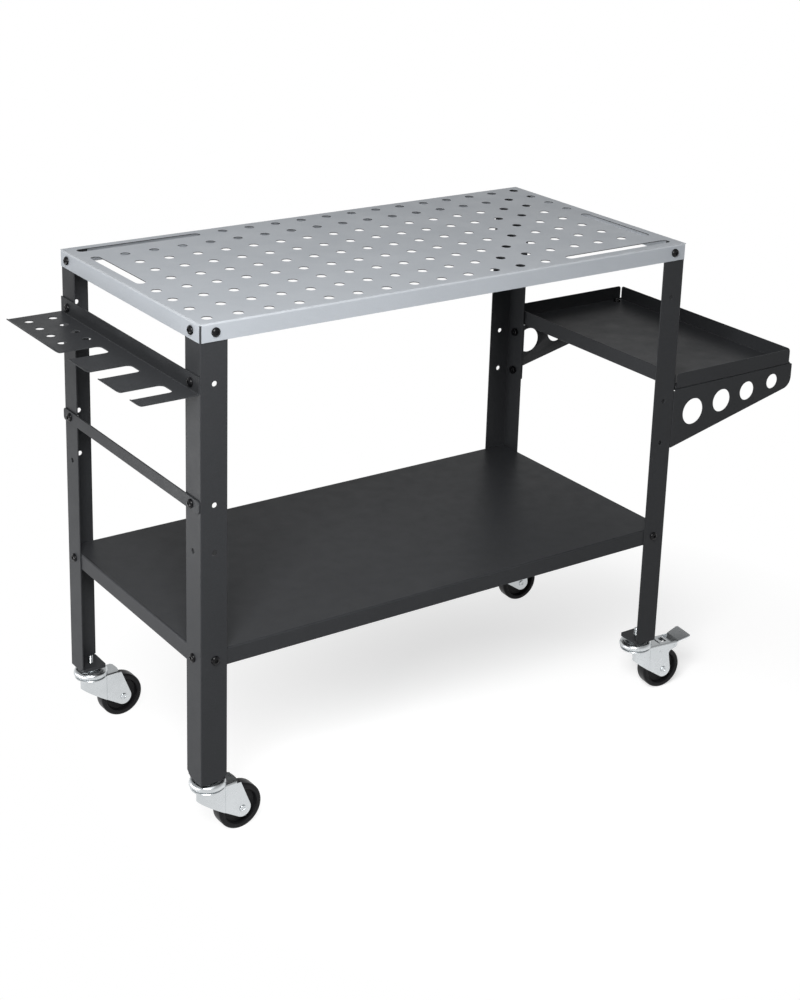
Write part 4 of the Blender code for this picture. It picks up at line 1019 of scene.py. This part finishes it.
def pedalShape(s=pedalSet, c=casterSet):
    pin = Vector((c["pin"], c["crown"] - c["pinDrop"]))
    toAxle = Vector((c["trail"], c["wheel"])) - pin
    shoe = toAxle.length - c["wheel"] / math.cos(math.pi / 20) - s["brakeGap"]
    turn = math.atan2(toAxle.y, toAxle.x) + math.radians(s["travel"])
    slope = math.radians(s["slope"])
    tip = Vector((s["root"] + s["pad"] * math.cos(slope), s["rootRise"] + s["pad"] * math.sin(slope)))
    shoeEnd = Vector((shoe * math.cos(turn), shoe * math.sin(turn)))
    path = [shoeEnd, Vector((0, 0)), Vector((s["root"], s["rootRise"])), tip]
    # offset the path by the sheet, then round the bends on both sides
    lower = []
    for i, here in enumerate(path):
        runs = []
        if i:
            runs.append((here - path[i - 1]).normalized())
        if i + 1 < len(path):
            runs.append((path[i + 1] - here).normalized())
        sides = [Vector((run.y, -run.x)) for run in runs]
        side = sum(sides, Vector((0, 0))).normalized()
        lower.append(here + side * s["sheet"] / side.dot(sides[0]))
    upperSide = [(p.x, p.y, b[0]) for p, b in zip(path, s["bends"])]
    lowerSide = [(p.x, p.y, b[1]) for p, b in zip(lower, s["bends"])]
    section = rounded(upperSide + lowerSide[::-1], 6)
    half = s["tipWide"] / 2
    pedal = newPiece("pedal", prisms((section, "y", -half, half)))
    narrow = c["wheelWide"] / 2 + c["sideGap"] - s["sideGap"]
    shoulder = c["armBack"] + 0.0003 - c["pin"]
    end = tip.x + 0.0004
    near = [(-0.03, narrow, 0), (shoulder, narrow, 0.001), (shoulder, s["rootWide"] / 2, 0.002),
            (end, s["tipWide"] / 2, s["corner"])]
    plan = near + [(x, -y, r) for x, y, r in reversed(near)]
    combine(pedal, prisms((rounded(plan, 6), "z", -0.05, 0.05)), "INTERSECT")
    softEdges(pedal, s["softEdge"])
    cheek = forkHalf() - c["step"]
    pinEnd = [(0.0010, cheek), (0.0020, cheek - 0.0004), (0.0020, cheek - 0.0020)]
    pinSolid = turned(pinEnd + [(r, -z) for r, z in reversed(pinEnd)], 24)
    moved(pinSolid, Matrix.Rotation(math.pi / 2, 4, "X"))
    return pedal, pinSolid


def joinMesh(piece, *bms):
    whole = bmesh.new()
    whole.from_mesh(piece.data)
    for bm in bms:
        part = bpy.data.meshes.new("part")
        bm.to_mesh(part)
        bm.free()
        part.shade_smooth()
        part.set_sharp_from_angle(angle=math.radians(32))
        whole.from_mesh(part)
        bpy.data.meshes.remove(part)
    whole.to_mesh(piece.data)
    whole.free()


def makeCaster(corner, s=casterSet):
    braked = corner in s["braked"]
    swivel = Vector(joints["swivel_" + corner]["pos_m"])
    spin = Vector(joints["spin_" + corner]["pos_m"])
    turn = math.atan2(spin.y - swivel.y, spin.x - swivel.x)
    stand = Matrix.Translation((swivel.x, swivel.y, 0)) @ Matrix.Rotation(turn, 4, "Z")
    cheek = forkHalf() - s["step"]
    onAxle = Matrix.Translation((s["trail"], 0, s["wheel"])) @ Matrix.Rotation(math.pi / 2, 4, "X")

    plate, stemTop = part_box("leg_" + corner)[0].z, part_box("caster_stem_" + corner)[1].z
    stem = newPiece("casterStem_" + corner, moved(
        stemShape(plate, stemTop, not braked), Matrix.Translation((swivel.x, swivel.y, 0))))
    softPattern(stem)
    seat(stem, "frame", "bright_zinc", zinc, "caster_stem_" + corner)

    fork = makeFork(braked)
    fork.name = "casterFork_" + corner
    extras = [raceRing()]
    for side in (-1, 1) if braked else ():  # the spring's rivet on each cheek
        rivet = turned([(0.0004, 0.0009), (0.0014, 0.0008), (0.0021, 0.0003), (0.0021, -0.0010)], 20)
        onCheek = Matrix.Translation((s["rivet"], side * cheek, s["crown"] - s["rivetDrop"]))
        extras.append(moved(rivet, onCheek @ Matrix.Rotation(-side * math.pi / 2, 4, "X")))
    joinMesh(fork, *extras)
    fork.data.transform(stand)
    seat(fork, "fork_" + corner, "bright_zinc", zinc, "caster_fork_" + corner)

    axle = newPiece("casterAxle_" + corner, moved(axleRivet(cheek), stand @ onAxle))
    softPattern(axle)
    seat(axle, "fork_" + corner, "bright_zinc", zinc, "caster_axle_" + corner)

    wheel = newPiece("casterWheel_" + corner, moved(wheelShape(), stand @ onAxle))
    softPattern(wheel)
    seat(wheel, "wheel_" + corner, "black_wheel", wheelBlack, "caster_wheel_" + corner)

    if braked:
        pedal, pinSolid = pedalShape()
        pedal.name = "brakePedal_" + corner
        joinMesh(pedal, pinSolid)
        pedal.data.transform(stand @ Matrix.Translation((s["pin"], 0, s["crown"] - s["pinDrop"])))
        seat(pedal, "pedal_" + corner, "bright_zinc", zinc, "brake_pedal_" + corner)


for corner in corners:
    makeCaster(corner)
print("casters made")


# studio: pale floor, soft light mostly from the left, camera at the photograph's angle

studioSet = {"floorReach": 14.0, "floor": 0.42, "floorSeen": 0.60, "floorGlow": 0.66, "shadeMiddle": (0.16, -0.16, 0.0),
             "fadeFrom": 0.28, "fadeTo": 0.80, "ambient": 0.05, "ceiling": 0.45, "ceilingFrom": 0.05, "ceilingTo": 0.6}


def whiteForEye(tree):
    # 1 where the camera, a reflection or a clear surface looks, 0 for light
    path = addNode(tree, "ShaderNodeLightPath", {})
    seen = valueNode(tree, "MAXIMUM", path["Is Camera Ray"], path["Is Glossy Ray"])
    return valueNode(tree, "MAXIMUM", seen, path["Is Transmission Ray"])


def makeFloor(s=studioSet):
    bm = bmesh.new()
    reach = s["floorReach"]
    bm.faces.new([bm.verts.new((x * reach, y * reach, 0.0)) for x, y in ((-1, -1), (1, -1), (1, 1), (-1, 1))])
    floor = newPiece("studioFloor", bm)
    material = bpy.data.materials.new("pale_floor")
    material.use_nodes = True
    tree = material.node_tree
    tree.nodes.clear()
    add = partial(addNode, tree)
    matt = lambda shade: add("ShaderNodeBsdfDiffuse", {"Color": (shade, shade, shade, 1.0)})["BSDF"]
    glow = lambda strength: add("ShaderNodeEmission", {"Strength": strength})["Emission"]
    either = lambda share, one, other: add("ShaderNodeMixShader", {"Fac": share, 1: one, 2: other})["Shader"]
    # near the table the floor keeps a soft shadow, paler than the light alone would leave it
    near = add("ShaderNodeAddShader", {0: matt(s["floorSeen"]), 1: glow(s["floorGlow"])})["Shader"]
    here = add("ShaderNodeTexCoord", {})["Object"]
    away = add("ShaderNodeVectorMath", {0: here, 1: s["shadeMiddle"]}, operation="DISTANCE")["Value"]
    seen = either(spread(tree, away, 0.0, 1.0, s["fadeFrom"], s["fadeTo"]), near, glow(1.0))
    add("ShaderNodeOutputMaterial", {"Surface": either(whiteForEye(tree), matt(s["floor"]), seen)})
    floor.data.materials.append(material)


def makeWorld(s=studioSet):
    # white all round for the eye, a greyer ceiling in reflections, and a low even fill
    world = bpy.data.worlds.new("studio")
    bpy.context.scene.world = world
    world.use_nodes = True
    tree = world.node_tree
    back = tree.nodes["Background"]
    back.inputs["Color"].default_value = (1.0, 1.0, 1.0, 1.0)
    path = addNode(tree, "ShaderNodeLightPath", {})
    clear = valueNode(tree, "MAXIMUM", path["Is Camera Ray"], path["Is Transmission Ray"])
    towards = addNode(tree, "ShaderNodeTexCoord", {})["Generated"]
    upward = addNode(tree, "ShaderNodeSeparateXYZ", {"Vector": towards})["Z"]
    ceiling = spread(tree, upward, 1.0, s["ceiling"], s["ceilingFrom"], s["ceilingTo"])
    seen = valueNode(tree, "MAXIMUM", clear, valueNode(tree, "MULTIPLY", path["Is Glossy Ray"], ceiling))
    tree.links.new(valueNode(tree, "MAXIMUM", seen, s["ambient"]), back.inputs["Strength"])


lampSet = {"keySoftbox": {"place": (-1.30, -1.36, 1.76), "aim": (-0.3, 0.0, 0.5), "size": (0.9, 0.9), "power": 54.5},
           "topSoftbox": {"place": (-0.5, -0.6, 2.9), "aim": (-0.2, 0.0, 0.5), "size": (2.2, 1.8), "power": 11.0},
           "sideSoftbox": {"place": (-1.35, 0.25, 0.16), "aim": (0.0, 0.05, 0.3), "size": (1.3, 0.28), "power": 8.6}}


def makeLight():
    for name, s in lampSet.items():
        lamp = bpy.data.lights.new(name, "AREA")
        lamp.shape = "RECTANGLE"
        lamp.size, lamp.size_y = s["size"]
        lamp.energy = s["power"]
        holder = bpy.data.objects.new(name, lamp)
        bpy.context.scene.collection.objects.link(holder)
        holder.location = s["place"]
        holder.rotation_euler = (Vector(s["aim"]) - Vector(s["place"])).to_track_quat("-Z", "Y").to_euler()
        holder.visible_camera = False


cameraSet = {"azimuth": -34.796, "elevation": 16.811, "roll": 1.6368, "distance": 2.95474, "sideways": 0.01223,
             "down": 0.08767, "lens": 65.796, "sensor": 36.0, "shiftX": 0.01167, "shiftY": -0.2}


def makeCamera(s=cameraSet):
    az, el, roll = (math.radians(s[key]) for key in ("azimuth", "elevation", "roll"))
    back = Vector((math.sin(az) * math.cos(el), -math.cos(az) * math.cos(el), math.sin(el)))
    right = Vector((math.cos(az), math.sin(az), 0.0))
    up = back.cross(right)
    right, up = right * math.cos(roll) + up * math.sin(roll), up * math.cos(roll) - right * math.sin(roll)
    place = tableMiddle + Vector((0, 0, topZ)) + back * s["distance"] + right * s["sideways"] - up * s["down"]
    lens = bpy.data.cameras.new("photoCamera")
    lens.lens, lens.sensor_width = s["lens"], s["sensor"]
    lens.shift_x, lens.shift_y = s["shiftX"], s["shiftY"]
    holder = bpy.data.objects.new("photoCamera", lens)
    bpy.context.scene.collection.objects.link(holder)
    turn = Matrix((right, up, back)).transposed()
    holder.matrix_world = Matrix.Translation(place) @ turn.to_4x4()
    bpy.context.scene.camera = holder


makeFloor()
makeWorld()
makeLight()
makeCamera()
bpy.context.scene.view_settings.view_transform = "Standard"
print("studio made")
